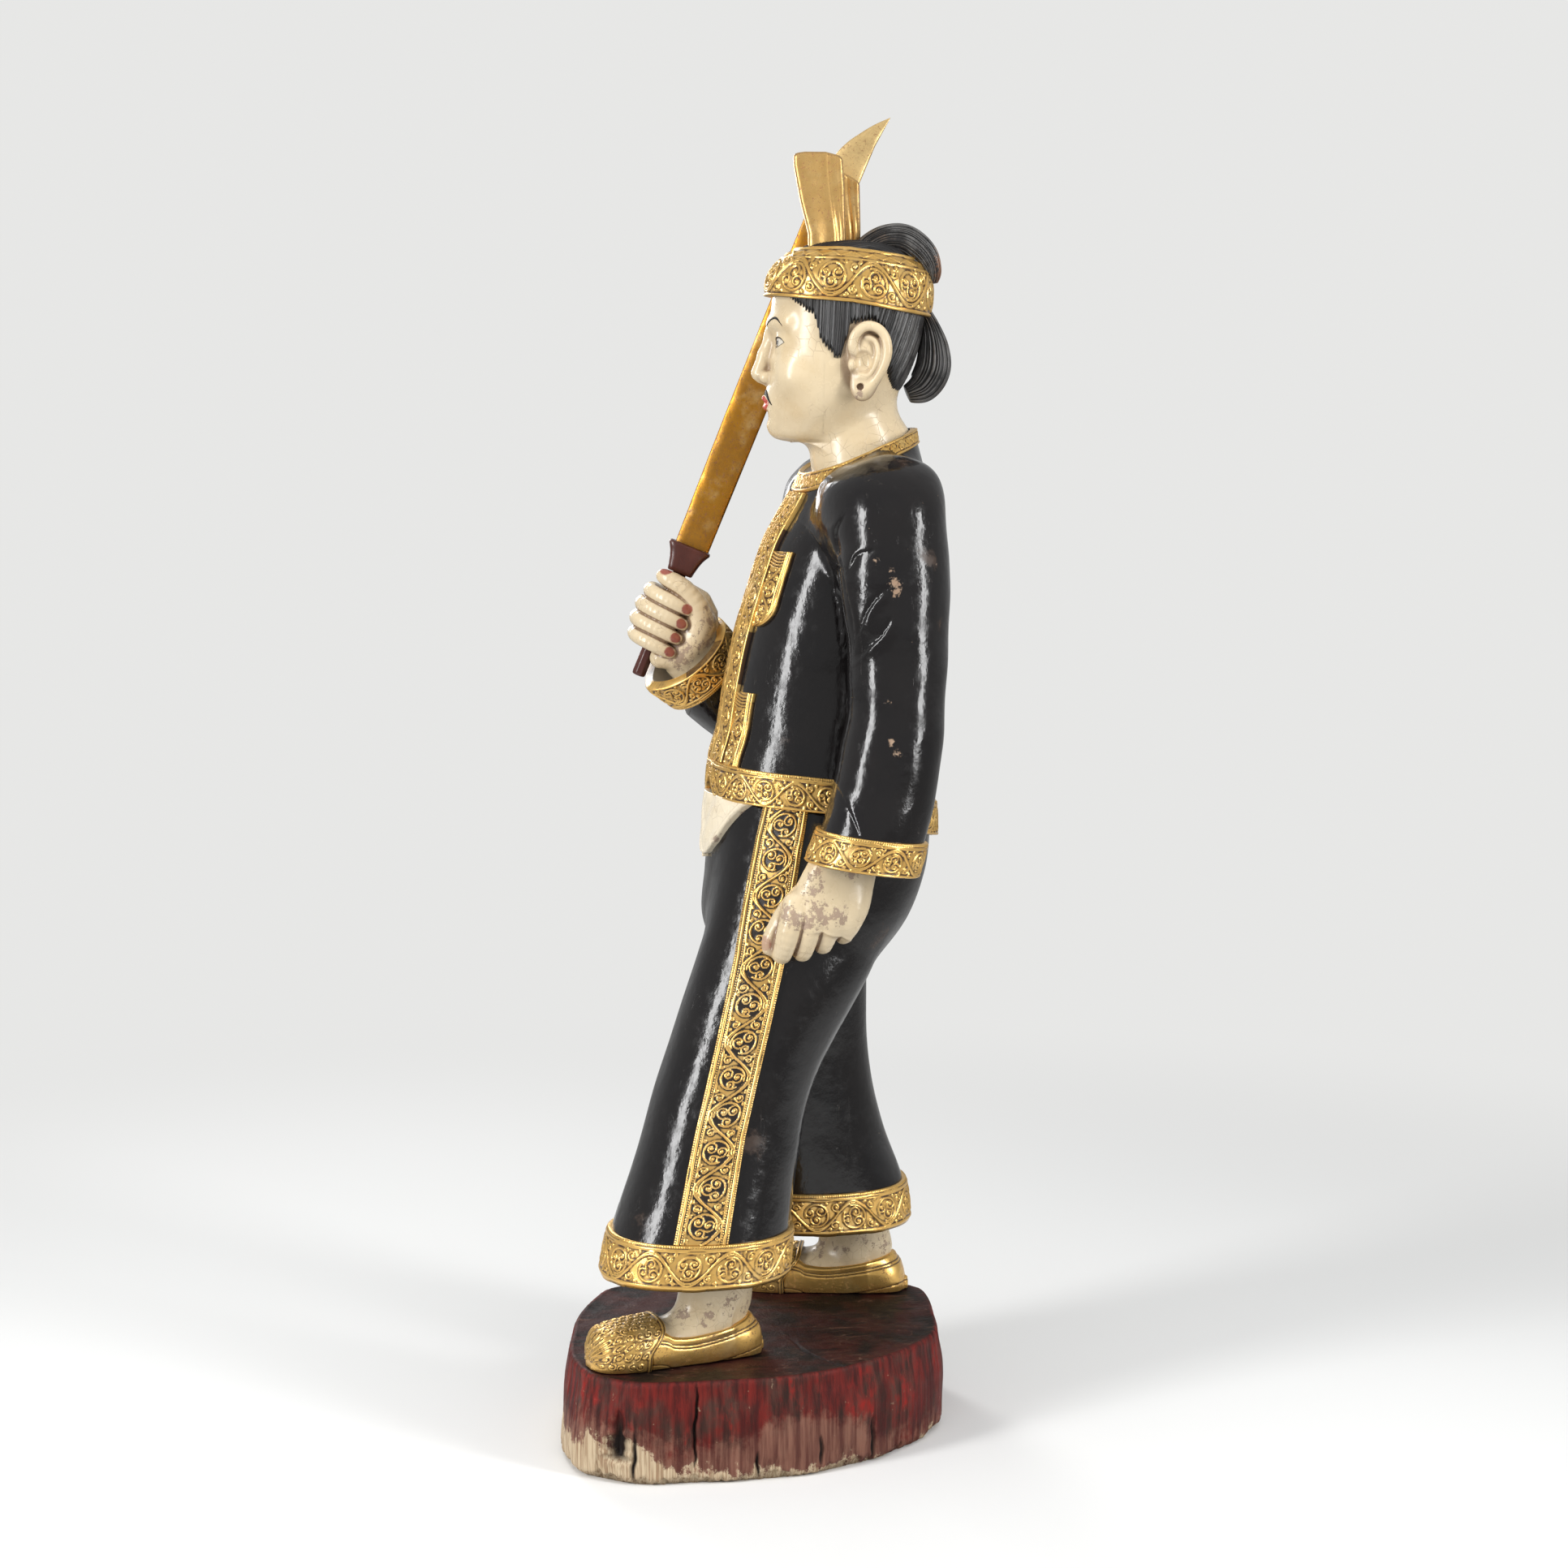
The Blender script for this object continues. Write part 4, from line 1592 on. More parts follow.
left_palm = Bent(up([[LX - 2, 94, 600, 21, 32], [LX - 1, 79, 552, 21, 37], [LX + 1, 68, 522, 22, 41],
                     [LX + 2, 60, 498, 20, 36], [LX + 2, 56, 486, 15, 30]]), (1, 0, 0), fine=4)
# Each finger's y, z, radius and the height of its bend, from the first to the fourth
LEFT_KNUCKLES = ((21.0, 498, 12.5, 452), (43.5, 501, 12.5, 454), (66.0, 504, 12, 461), (88.5, 507, 11, 470))
LEFT_FINGERS = []
for y, z, r, low in LEFT_KNUCKLES:
    LEFT_FINGERS.append(up([
        [LX + 3, y + 4, z + 16, r], [LX + 7, y + 1, z, r + 1], [LX + 6, y - 4, 0.5 * (z + low) + 4, r],
        [LX - 1, y - 8, low + 9, r - 2], [LX - 10, y - 8, low + 7, r - 2], [LX - 20, y - 6, low + 18, r - 2],
        [LX - 25, y - 4, low + 32, r - 3]]))
LEFT_THUMB = up([[LX - 6, 60, 540, 13], [LX - 10, 34, 520, 12.5], [LX - 14, 16, 498, 11],
                 [LX - 16, 3, 474, 9.5], [LX - 16, 0, 463, 7]])
LEFT_WORN = [(22, 43, 547), (22, 41, 530), (22, 44, 514), (20, 26, 500), (20, 38, 497), (20, 52, 498),
             (20, 68, 503), (12, 14, 506), (22, 86, 552)]


def bunch(x, y, z, fingers, r):
    """Fingers side by side, each a chain, with a crease of size r between them"""
    total = None
    for rows in fingers:
        one = chain(x, y, z, flow(rows, 3), 0.6)
        total = one if total is None else blend(total, one, r)
    return total


def left_hand(x, y, z):
    body = blend(left_palm.field(x, y, z), bunch(x, y, z, LEFT_FINGERS, 1.0), 9)
    return blend(body, chain(x, y, z, flow(LEFT_THUMB, 3), 1), 7)


def make_left_hand():
    low, high = (LX - 40, -12, FLOOR + 440), (LX + 26, 128, FLOOR + 590)
    points, faces, normals = mesh_field(left_hand, low, high, 1.2)
    nail = spot(points, [(LX - 12, -5, FLOOR + 470, 9)])
    piece("left_hand_skin", points, faces, CREAM, "cream_lacquer", nodes=["left_hand"],
          cavity=np.minimum(1, 1.25 * creases(left_hand, points, normals)),
          worn=0.75 * spot(points, [(LX + dx, y, FLOOR + z, 13) for dx, y, z in LEFT_WORN]),
          nail=0.45 * smooth((nail - 0.25) / 0.15))


make_left_hand()

# Sword. Its own axes: s up the blade from the grip's top, w to the edge, d to the flat.
SEAT = np.array([-131.7, -55.3, FLOOR + 853.2])
UP = unit(np.array([0.066, 0.374, 0.925]))
FLAT = unit(np.array([0.985, -0.174, 0.0]))
EDGE = unit(np.cross(UP, FLAT))
BLADE_LOW, BLADE_HIGH = 33.3, 565
# The cutting edge and the back, by s; and across the blade, half its thickness from edge to back
BLADE_EDGE = flow([[BLADE_LOW, -18], [170, -20], [339, -21], [470, -20], [503, -15], [521, -8], [535, 1],
                   [551, 13], [BLADE_HIGH, 26.6]], 12)
BLADE_BACK = [[BLADE_LOW, 22], [311, 23], [485, 22.5], [529, 23], [BLADE_HIGH, 27]]
BLADE_SHARE = np.array([0.0, 0.012, 0.05, 0.14, 0.26, 0.5, 0.75, 0.93, 0.985, 1.0])
BLADE_THICK = np.array([0.2, 1.0, 1.6, 3.0, 3.35, 3.5, 3.5, 3.4, 2.6, 1.2])
# Rings of the guard: s, half width, half thickness. Rings of the grip: s, radius.
GUARD = np.array([
    [0, 0, 0], [0, 14, 11], [1, 15, 12], [6, 15.8, 12.2], [9, 16.5, 12.5], [15, 18, 13], [21, 20, 13.5],
    [26, 22.6, 14.2], [30, 25, 15], [32, 24.6, 14.7], [33, 23, 13.5], [33, 0, 0]], float)
GRIP = np.array([
    [-127, 0], [-127, 5.5], [-126, 7.4], [-123, 8.0], [-110, 8.0], [-90, 7.8], [-60, 7.9], [-30, 7.9],
    [-0.4, 7.9], [-0.4, 0]])
TURNED = np.linspace(0, 2 * np.pi, 64, endpoint=False)


def along(s, w=0.0, d=0.0):
    """Points of the sword's own axes"""
    s, w, d = np.broadcast_arrays(np.asarray(s, float), w, d)
    return SEAT + s[..., None] * UP + w[..., None] * EDGE + d[..., None] * FLAT


def make_blade():
    s = (np.linspace(0, 1, 200) ** 0.9 * (BLADE_HIGH - BLADE_LOW) + BLADE_LOW)[:, None]
    front, back = between(s, BLADE_EDGE), between(s, BLADE_BACK)
    w = front + (back - front) * np.concatenate([BLADE_SHARE, BLADE_SHARE[::-1]])[None]
    d = np.concatenate([BLADE_THICK, -BLADE_THICK[::-1]])[None] * np.minimum(1, (back - front) / 30 + 0.25)
    d = d + 0.25 * np.sin(s / 23) + 0.2 * np.sin(s / 7.3 + w * 0.2)
    piece("blade_skin", along(s, w, d), grid_faces(*w.shape, True), BLADE_GILT, "gilding", "sword",
          ["sword_blade"], cavity=np.clip(0.4 * np.abs(np.sin(s / 31)) + 0 * w, 0, 0.3),
          worn=0.5 + 0 * w, top=0.75 * smooth((s - 400) / 110) + 0 * w)


def make_guard():
    p, q = squarish(TURNED, 0.42)
    points = along(GUARD[:, :1], GUARD[:, 1:2] * p[None], GUARD[:, 2:] * q[None])
    piece("guard_skin", points, grid_faces(len(GUARD), len(TURNED), True), SWORD_WOOD, "red_wood", "sword",
          ["sword_guard"])


def make_grip():
    s, r = GRIP[:, :1], GRIP[:, 1:]
    octagon = 1 - 0.03 * np.cos(8 * TURNED)
    points = along(s, r * np.cos(TURNED) * octagon, r * np.sin(TURNED) * octagon)
    piece("grip_skin", points, grid_faces(len(GRIP), len(TURNED), True), SWORD_WOOD, "red_wood", "sword",
          ["sword_grip"])


make_blade()
make_guard()
make_grip()


# Right fist round the grip, in the sword's axes
def hold(*rows):
    """Rows of s, w, d, radius as x, y, z, radius"""
    return [[*along(s, w, d), r] for s, w, d, r in rows]


WRIST = MOUTH - MOUTH_WAY * 40
fist_arm = Bent([[*WRIST, 27, 30], [*(MOUTH - MOUTH_WAY * 8), 27, 32], [*along(-50, 25, 2), 21, 41],
                 [*along(-52, 10, 3), 18, 40], [*along(-52, -2, 4), 14, 36]], (1, 0, 0), fine=4)
FINGER_PITCH = 17.5
FIST_FINGERS = []
for i, (r, out) in enumerate(((9.4, 0), (9.8, -3), (9.6, -3), (9.0, 1))):
    s = -31 - i * FINGER_PITCH
    FIST_FINGERS.append(hold(
        (s - 4, 22, -22, r), (s - 1, 2, -23, r), (s, -16 + out, -16, r), (s + 1, -22 + out, 0, r * 1.03),
        (s, -15 + out * 0.5, 18, r), (s - 1, 2, 26, r), (s - 2, 15, 28, r * 0.9), (s - 3, 25, 27, r * 0.72)))
FIST_THUMB = hold((-44, 44, 16, 14.5), (-26, 33, 21, 13), (-14, 12, 23, 11.5), (-10, -8, 20, 10),
                  (-9, -16, 17, 8))
FIST_HEEL = hold((-40, 44, 14, 14), (-62, 46, 15, 14), (-84, 37, 14, 13), (-98, 16, 9, 12))
FIST_WORN = hold((-84, 36, 26, 20), (-36, 50, 22, 18), (-60, 52, 10, 22))
NAILS = hold(*((-33 - FINGER_PITCH * i, 24, 35, 6.8) for i in range(4)), (-3, -14, 21, 8))


def bore(x, y, z):
    """The hole that the grip runs in"""
    return rod(x, y, z, along(-200), along(60), 8.4)


def fist(x, y, z):
    palm = blend(fist_arm.field(x, y, z), chain(x, y, z, flow(FIST_HEEL, 3), 1), 8)
    palm = blend(palm, chain(x, y, z, flow(FIST_THUMB, 3), 1), 7)
    body = blend(palm, bunch(x, y, z, FIST_FINGERS, 1.2), 1.5)
    seat = sum((v - SEAT[i]) * UP[i] for i, v in enumerate((x, y, z))) + 0.3
    return np.maximum(np.maximum(body, -bore(x, y, z)), seat)


def make_fist():
    points, faces, normals = mesh_field(fist, (-178, -120, FLOOR + 708), (-90, 8, FLOOR + 868), 1.25)
    cavity = np.maximum(creases(fist, points, normals), smooth(2 - bore(*points.T)))
    piece("right_hand_skin", points, faces, CREAM, "cream_lacquer", nodes=["right_hand"], cavity=cavity,
          worn=0.7 * spot(points, FIST_WORN), nail=0.9 * smooth((spot(points, NAILS) - 0.25) / 0.12))


make_fist()


# Head. Its own axes: lx to the figure's left, ly to its back, z up.
TURN = math.radians(-8)
TURN_C, TURN_S = math.cos(TURN), math.sin(TURN)
HEAD_X, HEAD_Y = -12, 116


def turned(points):
    """Directions of the head's axes, turned to the figure's"""
    lx, ly, z = points[..., 0], points[..., 1], points[..., 2]
    return np.stack([TURN_C * lx - TURN_S * ly, TURN_S * lx + TURN_C * ly, z], -1)


def carry(points):
    """Points of the head's axes, carried to the figure's"""
    lx, ly, z = points[..., 0], points[..., 1], points[..., 2]
    return np.stack([HEAD_X + TURN_C * lx - TURN_S * ly, HEAD_Y + TURN_S * lx + TURN_C * ly, z + FLOOR], -1)


def head_axes(x, y):
    """lx and ly of a place on the figure"""
    dx, dy = x - HEAD_X, y - HEAD_Y
    return TURN_C * dx + TURN_S * dy, -TURN_S * dx + TURN_C * dy


# Rows of the skull: z, half width, how far it reaches forward and back. Of the neck: z, x, y, half sizes.
SKULL = [[1004, 24, 62, 10], [1009, 34, 76, -4], [1020, 44, 83, 12], [1040, 57, 86, 34], [1064, 66, 86, 54],
         [1092, 72, 86, 68], [1122, 75, 86, 77], [1154, 76, 84, 82], [1182, 74, 79, 81], [1200, 64, 67, 72],
         [1213, 46, 44, 54], [1219, 20, 14, 26]]
NECK = [[920, CX, 140, 76, 60], [950, CX, 138, 68, 58], [985, CX, 134, 58, 58], [1012, CX, 131, 54, 57],
        [1040, CX + 1, 122, 50, 51], [1080, CX + 2, 124, 50, 49]]
skull = Loft([[z, 0, (back - front) / 2, half, (back + front) / 2] for z, half, front, back in SKULL],
             square=2.15)
neck = Loft([[z, *head_axes(x, y), a, b] for z, x, y, a, b in NECK], square=2.0)
EYE = (28.0, -57.0, 1112.0)
EYE_R = 22.0
LOBE_HOLE = ((60, 10, 1065), (96, 10, 1065), 3.4)


def eye_lids(ax):
    """Height of the upper and lower lid at a distance from the middle of the face"""
    t = np.clip((ax - 31.5) / 14.8, -1, 1)
    arch = np.sqrt(np.clip(1 - t * t, 0, 1))
    line = 1111.8 + 1.6 * t
    return line + 6.4 * arch**1.3, line - 3.9 * arch**1.5


def ear(ax, y, z):
    plate = ball(ax, y, z, (75, 18, 1094), 5.5, 20, 34)
    body = blend(plate, ball(ax, y, z, (75, 12, 1064), 6, 11, 13), 5)
    rim = [(75, 10, 1097, 3.2), (79, 2, 1106, 3.8), (81, 4, 1120, 4.2), (82, 15, 1130, 4.4),
           (83, 28, 1128, 4.5), (84, 37, 1117, 4.5), (84, 39, 1101, 4.4), (82, 34, 1084, 4.0),
           (79, 25, 1070, 3.6), (77, 16, 1060, 4.0)]
    body = blend(body, chain(ax, y, z, flow(rim, 3), 4), 3)
    body = carve(body, ball(ax, y, z, (85, 22, 1112), 5, 9, 11), 3)
    fold = [(78, 17, 1119, 2.4), (81, 27, 1114, 2.8), (82, 30, 1100, 3.0), (80, 25, 1086, 2.8),
            (78, 17, 1076, 2.4)]
    body = blend(body, chain(ax, y, z, flow(fold, 3), 3), 3)
    body = carve(body, ball(ax, y, z, (82, 14, 1092), 7.5, 9, 12), 3)
    body = blend(body, ball(ax, y, z, (79, 1, 1089), 4.5, 4.0, 6.5), 3)
    body = blend(body, ball(ax, y, z, (78, 12, 1076), 4, 5, 3.5), 3)
    return carve(body, rod(ax, y, z, *LOBE_HOLE), 1.5)


near_ear = within(ear, (60, -12, 1040), (94, 50, 1140), 40.0)


def with_eyes(body, ax, y, z):
    """The form with sockets, lids and the balls of the eyes"""
    body = carve(body, ball(ax, y, z, (30, -91, 1113), 20, 14, 12), 12)
    lids = np.maximum(ball(ax, y, z, EYE, *[EYE_R + 1.5] * 3), np.abs(z - EYE[2]) - 15)
    body = blend(body, lids, 4)
    high, low = eye_lids(ax)
    opening = np.maximum(np.maximum(z - high, low - z), y + 55)
    body = carve(body, opening, 0.6)
    return np.minimum(body, ball(ax, y, z, EYE, *[EYE_R] * 3))


def with_nose(body, x, ax, y, z):
    bridge = [(0, -80, 1136, 7), (0, -84.5, 1122, 6.5), (0, -91, 1100, 7.5), (0, -97.5, 1080, 9.0)]
    body = blend(body, chain(x, y, z, bridge, 5), 7)
    body = blend(body, ball(ax, y, z, (9.5, -89, 1075), 6.2, 8.5, 6.5), 4)
    body = blend(body, rod(x, y, z, (0, -96, 1073), (0, -86, 1067), 4.0, 3.0), 3)
    body = carve(body, ball(ax, y, z, (5.6, -92, 1067.5), 2.6, 4.6, 3.0), 1.5)
    return carve(body, rod(x, y, z, (0, -93.5, 1064), (0, -92.5, 1057), 1.6, 2.2), 3)


def with_mouth(body, x, ax, y, z):
    upper = [(20, -77, 1047.5, 2.0), (9, -87, 1050.5, 3.5), (3.5, -90, 1052.2, 3.6), (0, -89.6, 1051, 3.4)]
    lower = [(17, -78.5, 1045, 2.0), (8, -86.5, 1043, 4.3), (0, -88.5, 1042.2, 5.0)]
    for lip in (lower, upper):
        body = blend(body, chain(ax, y, z, lip, 3), 3)
    seam = [(21, -81, 1047.2, 0.9), (9, -91, 1047.6, 1.0), (3, -94, 1048.0, 1.0), (0, -94, 1047.3, 1.0)]
    body = carve(body, chain(ax, y, z, seam, 2), 2)
    return carve(body, rod(x, y, z, (-9, -92, 1032.5), (9, -92, 1032.5), 4), 8)


def head(x, y, z):
    """Skull and neck with chin, cheeks, jaw and brows, and the features on them"""
    ax = np.abs(x)
    body = blend(skull.field(z, x, y), neck.field(z, x, y), 16)
    body = blend(body, ball(x, y, z, (0, -74, 1022), 22, 13, 13), 14)
    body = blend(body, ball(ax, y, z, (38, -60, 1078), 20, 17, 20), 16)
    body = blend(body, ball(x, y, z, (0, -74, 1051), 27, 14, 21), 14)
    body = blend(body, rod(ax, y, z, (14, -81, 1134), (46, -66, 1136), 7), 12)
    body = with_eyes(body, ax, y, z)
    body = with_nose(body, x, ax, y, z)
    body = with_mouth(body, x, ax, y, z)
    return blend(body, near_ear(ax, y, z), 3.5)


HEAD_TOP = 1184
HEAD_WORN = [(78, 10, 1058, 7), (60, -20, 1024, 8), (72, 45, 1010, 8)]


def head_part(name, low, high, step, keep):
    """The faces of the head whose middles keep() chooses by their y"""
    points, faces, normals = mesh_field(head, low, high, step)
    middle = points[faces].mean(1)
    faces = faces[keep(middle[:, 1]) & (middle[:, 2] < HEAD_TOP)]
    used, faces = np.unique(faces, return_inverse=True)
    points, normals = points[used], normals[used]
    lobe = rod(np.abs(points[:, 0]), points[:, 1], points[:, 2], *LOBE_HOLE)
    cavity = np.where(lobe < 0.6, 1.0, creases(head, points, normals) * 0.75)
    piece(name, carry(points), faces.reshape(-1, 4), CREAM, "cream_lacquer", nodes=["head"], cavity=cavity,
          worn=spot(points, HEAD_WORN))


head_part("face_skin", (-90, -114, 922), (90, -24, 1186), 1.0, lambda y: y < -28)
head_part("head_skin", (-92, -33, 922), (92, 92, 1186), 1.22, lambda y: y > -29.2)


# Painted and raised lines of the face
def patch(name, paint, slot, across, low, high, lifted, fine, mirror=True, swell=0.0):
    """A thin painted or raised shape on the face, between two edges given over across"""
    for side in ((1, -1) if mirror else (1,)):
        u = np.arange(across[0], across[-1] + fine / 2, fine)
        bottom, top = np.interp(u, across, low), np.interp(u, across, high)
        count = max(4, int(np.ceil((top - bottom).max() / fine)) + 1)
        t = np.linspace(0, 1, count)[:, None]
        z = bottom[None] + (top - bottom)[None] * t
        start = np.stack([side * (u[None] + 0 * z), np.full_like(z, -125.0), z], -1)
        points, normals = land(head, start, np.array([0.0, 1.0, 0.0]), 90)
        domed = np.sqrt(np.clip(1 - (2 * t - 1) ** 2, 0, 1)) * smooth((top - bottom)[None] / 2.0)
        raised = points + normals * (lifted + swell * domed)[..., None]
        sunk = points - normals * 0.5
        grid = np.concatenate([sunk[:1], raised, sunk[-1:]])
        faces = grid_faces(*grid.shape[:2], False)
        if side < 0:
            faces = faces[:, ::-1]
        label = name if not mirror else f"{name}_{'left' if side > 0 else 'right'}"
        piece(label, carry(grid), faces, paint, slot, nodes=["head"])


def stroke(name, u, line, half, lifted, fine, swell=0.0):
    """A black line with its half width over u"""
    patch(name, BLACK_LINE, "hair_black", u, line - half, line + half, lifted, fine, swell=swell)


def make_eyebrows():
    u = np.linspace(14, 49, 40)
    brow = between(u, flow([[14, 1131.5], [24, 1137.5], [34, 1140], [43, 1137], [49, 1131]], 12))
    half = 1.3 * np.sin(np.linspace(0.25, np.pi - 0.12, 40)) ** 0.6
    stroke("eyebrow", u, brow, half, 0.25, 0.4, swell=0.5)


def make_moustache():
    u = np.linspace(2.5, 27, 38)
    line = between(u, flow([[2.5, 1058.4], [8, 1058.6], [16, 1054.5], [27, 1045]], 12))
    half = np.interp(u, [2.5, 5, 12, 20, 27], [1.5, 3.0, 3.2, 2.2, 0.4])
    stroke("moustache", u, line, half, 0.3, 0.4, swell=0.9)


def make_lips():
    u = np.linspace(-19.5, 19.5, 79)
    v = np.abs(u)
    top = np.interp(v, [0, 3.5, 9, 15, 19.5], [1053.4, 1055.4, 1053.6, 1050.4, 1047.6])
    bottom = np.interp(v, [0, 6, 12, 19.5], [1037.4, 1038.2, 1041.2, 1047.0])
    patch("lips", LIP_RED, "cream_lacquer", u, bottom, top, 0.15, 0.5, mirror=False)


make_eyebrows()
make_moustache()
make_lips()


# Eyes, their lid lines and lashes
def make_eye(tag, side):
    ways = 1 if side > 0 else -1

    def on_eye(lx, z, out):
        """Points on the ball of the eye, out above it"""
        dx, dz = lx - EYE[0], z - EYE[2]
        deep = np.sqrt(np.clip((EYE_R + out) ** 2 - dx**2 - dz**2, 1, None))
        return carry(np.stack([side * lx, EYE[1] - deep, z], -1))

    def shell(name, points, paint, slot):
        faces = grid_faces(*points.shape[:2], False)[:, ::ways]
        piece(f"{name}_{tag}", points, faces, paint, slot, nodes=["head"])

    u = np.linspace(16.9, 46.1, 50)
    high, low = eye_lids(u)
    t = np.linspace(0, 1, 24)[:, None]
    shell("eye_white", on_eye(u[None] + 0 * t, low + (high - low) * t, 0.12), EYE_WHITE, "cream_lacquer")
    turn = np.linspace(0, 2 * np.pi, 41)[None]
    for name, size, out, paint in (("iris", 5.4, 0.24, EYE_BROWN), ("pupil", 2.6, 0.34, BLACK_LINE)):
        r = np.linspace(0.02, 1, 10)[:, None] * size
        lx, z = 30.5 + r * np.cos(turn), 1113.4 + r * np.sin(turn)
        high, low = eye_lids(lx)
        shell(name, on_eye(lx, np.clip(z, low - 0.4, high + 0.4), out), paint, "hair_black")


def make_lashes():
    u = np.linspace(16, 48.2, 60)
    high, low = eye_lids(u)
    trail = np.clip((u - 44) / 4.2, 0, 1)
    half = np.interp(u, [16, 22, 40, 48.2], [0.25, 0.6, 0.75, 0.2])
    stroke("lash_line", u, high + 0.7 - 0.8 * trail, half, 0.15, 0.35, swell=0.3)
    stroke("lower_lash_line", u, low - 0.5 + 0.3 * trail, 0.22, 0.12, 0.3)


make_eye("left", 1)
make_eye("right", -1)
make_lashes()

# Hair on the sides and back, combed in fine grooves
hair = Loft([[z + (5 if z > 1210 else 0), 0, (back + 2 - front) / 2, half + 3, (back + 2 + front) / 2 + 3]
             for z, half, front, back in SKULL], square=2.15)
# The hair's lower edge: height by y
HAIRLINE = [
    [-70, 1166], [-66, 1162], [-54, 1154], [-40, 1144], [-33, 1116], [-16, 1097], [-11, 1098], [-5, 1116],
    [0, 1134], [26, 1138], [36, 1126], [40, 1100], [44, 1080], [56, 1052], [84, 1060]]


def hair_field(x, y, z):
    return hair.field(z, x, y)


def strands(s, seed, pitch):
    """Rounded strands side by side, of uneven width and height, from a running length"""
    warped = s + 0.55 * np.sin(s * 0.71 + seed) + 0.35 * np.sin(s * 1.93 + 2 * seed)
    k = warped / pitch
    index = np.floor(k)
    tall = 1.45 + 0.6 * np.sin(index * 12.9898 + seed) * np.cos(index * 4.31)
    crest = np.abs(np.sin(np.pi * (k - index)))
    return tall * crest**0.75, crest


def hair_foot(s, angles):
    """Height of the hair's toothed lower edge at each angle"""
    low = np.full(len(s), 1110.0)
    steps = np.arange(-80, 100)
    edge = between(steps, HAIRLINE)
    for _ in range(12):
        ly = hair.ring(low, angles)[:, 1]
        low = 0.5 * low + 0.5 * np.interp(ly, steps, edge)
    teeth = 2.2 * np.sin(2 * np.pi * s / 3.8) + 1.4 * ripple(s, 0 * s, 0 * s, 7, 71)
    return np.minimum(low + teeth, 1180)


def make_side_hair():
    """Strands from the hairline up under the headband, and down the nape"""
    count = 1150
    probe = np.linspace(-np.pi * 0.30, np.pi * 1.30, 1600)
    run = running(hair.ring(np.full_like(probe, 1120.0), probe))
    s = np.linspace(0, run[-1], count)
    angles = np.interp(s, run, probe)
    low = hair_foot(s, angles)
    t = np.concatenate([[0], np.linspace(0, 1, 46)])[:, None]
    z = low[None] + (HEAD_TOP - low)[None] * t
    base = hair.ring(z, angles[None] + 0 * z)
    normal = unit(slope(hair_field, base))
    drift = np.where(base[..., 1] > 30, 0.22 * (1150 - z), -0.05 * (1150 - z))
    relief, crest = strands(s[None] + drift * np.sign(np.pi / 2 - angles)[None], 3.0, 3.8)
    fade = smooth((z - low[None]) / 5)
    thick = -2.6 + (2.2 + 0.9 * relief) * (0.35 + 0.65 * fade)
    thick[0] = -4.0
    faces = grid_faces(len(t), count, False)[:, ::-1]
    piece("side_hair", carry(base + normal * thick[..., None]), faces, HAIR, "hair_black", nodes=["hair"],
          ridge=crest * (0.45 + 0.45 * smooth((base[..., 1] - 40) / 30)), cavity=1 - crest)


make_side_hair()


def make_crown():
    """Strands over the top of the head, from front to back"""
    cols, rows = 230, 130
    lean = np.linspace(-1, 1, cols) * np.pi / 2 * 0.985
    lx = 63 * np.sin(lean)
    half = 72 * np.cos(lean)
    ly = 2 + half[None] * np.linspace(-1, 1, rows)[:, None]
    start = np.stack([lx[None] + 0 * ly, ly, np.full_like(ly, 1245.0)], -1)
    base, normal = land(hair_field, start, np.array([0.0, 0.0, -1.0]), 60)
    spread = 1 + 0.9 * np.clip((ly + 70) / 90, 0, 1)
    relief, crest = strands(lx[None] * spread + 4 * np.sin(ly / 40) * np.sign(lx)[None], 9.0, 3.8)
    points = base + normal * (1.0 * relief - 0.4)[..., None]
    piece("crown_hair", carry(points), grid_faces(rows, cols, False), HAIR, "hair_black", nodes=["hair"],
          ridge=crest * 0.45, cavity=1 - crest)


make_crown()


def make_lock(name, node, rows, seed, bare):
    """A bunch of hair: strands along a bent limb, worn through where bare() says"""
    limb = Bent(rows, (1, 0, 0), fine=12)
    last = len(limb.rows) - 1
    count = 420
    angles, length = even_angles(lambda t: limb.ring(np.full_like(t, 0.5 * last), t), count)
    where = np.linspace(0, last, 110)[:, None]
    base = limb.ring(where + 0 * angles[None], angles[None] + 0 * where)
    s = np.arange(count) / count * length
    relief, crest = strands(s[None] + 0 * where, seed, length / round(length / 3.6))
    core = np.stack(limb.read(limb.rows[:, :3], where), -1)
    outward = unit(base - core)
    points = base + outward * (1.1 * relief - 0.7)[..., None]
    root, tip = (core[end] + 0 * points[:1] for end in (0, -1))
    points = np.concatenate([root, points, tip])
    worn = bare(where / last + 0 * angles[None], base)
    marks = {"ridge": crest * 0.95, "cavity": 1 - crest, "worn": worn}
    marks = {mark: np.pad(values, ((1, 1), (0, 0)), mode="edge") for mark, values in marks.items()}
    piece(name, carry(points), grid_faces(len(points), count, True), HAIR, "hair_black", nodes=[node],
          **marks)


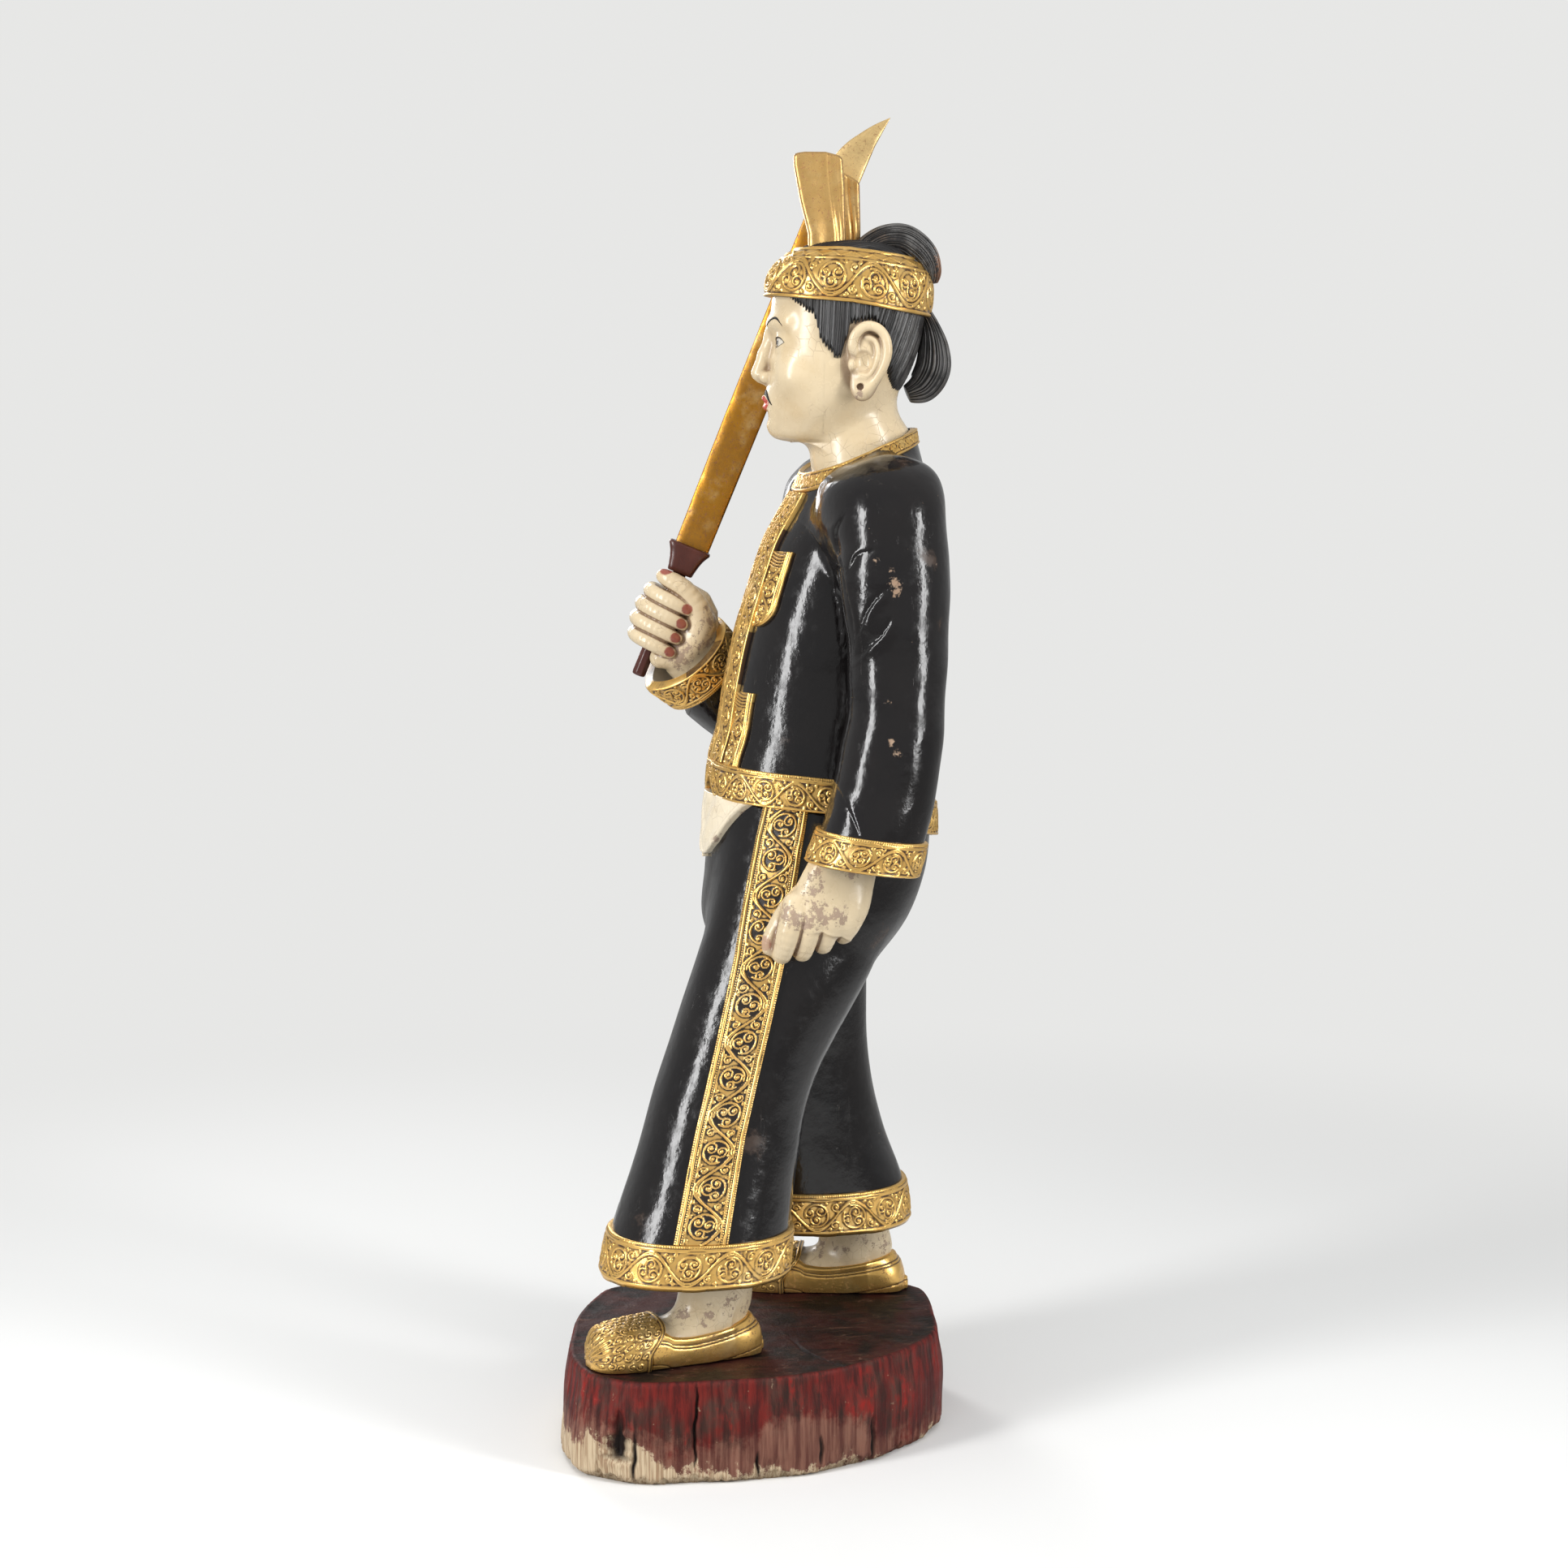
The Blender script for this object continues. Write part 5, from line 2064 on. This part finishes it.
TOPKNOT = [(0, 14, 1209, 30, 9), (0, 22, 1214, 32, 15), (0, 42, 1223, 36, 18), (0, 62, 1221, 36, 21),
           (0, 80, 1207, 34, 20), (0, 90, 1191, 28, 14), (0, 92, 1178, 17, 7)]
LOOP = [(0, 74, 1160, 12, 6), (0, 80, 1152, 15, 8), (0, 91, 1132, 20, 10), (0, 96, 1108, 26, 16),
        (0, 95, 1084, 29, 19), (0, 84, 1065, 26, 17), (0, 67, 1057, 19, 9)]
make_lock("topknot_hair", "topknot", TOPKNOT, 5.0,
          lambda t, p: 0.9 * smooth((t - 0.55) / 0.2) * smooth((p[..., 1] - 92) / 10))
make_lock("loop_hair", "hair_loop", LOOP, 7.0, lambda t, p: 0 * t)

# Headband: heights of its lower and upper edge by y
BAND_LOW = [[-200, 1172], [-90, 1164], [0, 1156], [88, 1141], [200, 1121]]
BAND_HIGH = [[-200, 1222], [-84, 1215], [0, 1214], [88, 1202], [200, 1185]]
BAND_TALL = 57.0
headband_ornament = trim((5.5, -15.5, 44, 1.2, 1.9), [(1.8, 1.9, 2.0), (-14.0, 1.1, 1.8), (-1.8, 1.6, 1.8)])


def headband_ring(share, angles):
    """Points of the hair at a share of the height between the band's edges"""
    z = np.full(np.broadcast_shapes(share.shape, angles.shape), 1180.0)
    for _ in range(6):
        y = hair.ring(z, angles)[..., 1]
        bottom, top = between(y, BAND_LOW), between(y, BAND_HIGH)
        z = bottom + (top - bottom) * share
    return hair.ring(z, angles)


def make_headband():

    def middle(t):
        return headband_ring(np.full_like(t, 0.5), t)

    _, length = even_angles(middle, 10)
    sheet = Sheet(length, BAND_TALL, 0.8, 77, loop=True)
    angles, _ = even_angles(middle, sheet.n)
    share = np.linspace(0, 1, sheet.m)[:, None]
    base = headband_ring(share + 0 * angles[None], angles[None] + 0 * share)
    headband_ornament(sheet)
    u = np.arange(0, sheet.length, 0.4)
    sheet.stamp(u, BAND_TALL - 10.6 + 4.4 * np.abs(((u / 11.5) % 2) - 1), 1.0, 1.3)
    normal = unit(slope(hair_field, base))
    t = share[:, 0]
    bulge = 5.0 + 1.6 * np.sin(np.pi * np.clip(t * 1.15, 0, 1)) - 2.0 * smooth((t - 0.82) / 0.18)
    lifted = base + normal * (bulge - 3.0)[:, None, None]
    band("headband_gilding", "headband", carry(lifted), turned(normal), sheet, thick=3.0, hollow=0.8,
         rim=5.0)


make_headband()

# The two upright ends of the tied headcloth. For each: its place across, y of its front and back edge
# by height, and the height of its top by y.
TABS = {
    "left": (14, [[1190, -44], [1232, -44], [1268, -53], [1306, -60], [1330, -61]],
             [[1190, -3], [1232, -3], [1280, -4], [1308, -6], [1330, -8]],
             [[-62, 1318.5], [-48, 1320.5], [-25, 1320.5], [-6, 1315.5]]),
    "right": (-14, [[1190, -20], [1206, -20], [1240, -24], [1280, -30], [1330, -29]],
              [[1190, 15], [1240, 15], [1284, 14], [1330, 12]], [[-31, 1302.5], [-4, 1300], [14, 1290]])}
# Grooves down each end: place across it and depth
TAB_GROOVES = ((0.72, 1.6), (0.88, 1.1))
TAB_LOW = 1199


def make_tab(side):
    middle, front_edge, back_edge, top_edge = TABS[side]

    def field(x, y, z):
        x, y, z = np.broadcast_arrays(x, y, z)
        front, back = between(z, front_edge), between(z, back_edge)
        share = (y - front) / (back - front)
        out = x - middle
        lean = 1.2 * np.sin(2 * np.pi * share + 0.4) + 1.0 * np.sin((z - 1206) / 37.0)
        low = smooth((1275 - z) / 55)
        flat = np.abs(out - lean * 0.6) - 10.4 - 0.8 * low * np.sin(3 * np.pi * share)
        body = both(both(flat, both(front - y, y - back, 2.0), 5.0), z - between(y, top_edge), 5.0)
        for at, deep in TAB_GROOVES:
            groove = np.abs(share - at - 0.03 * np.sin(z / 21)) * (back - front)
            body = body + deep * (0.25 + 0.75 * low) * np.exp(-((groove / 1.5) ** 2)) * (np.abs(out) > 6)
        return np.maximum(body, TAB_LOW - z)

    points, faces, normals = mesh_field(field, (middle - 14, -66, 1198), (middle + 14, 20, 1323), 1.0)
    piece(f"{side}_tab_gilding", carry(points), faces, TAB_GILT, "gilding", nodes=[f"turban_end_{side}"],
          cavity=creases(field, points, normals, 2.5) * 0.8, worn=0.5 + 0 * points[:, 0])


for side in TABS:
    make_tab(side)

# Dowels keep their own solids
for node in bpy.data.objects:
    if "dowel" in node.name and node.type == "MESH":
        for holder in node.material_slots:
            holder.material = BARE_WOOD
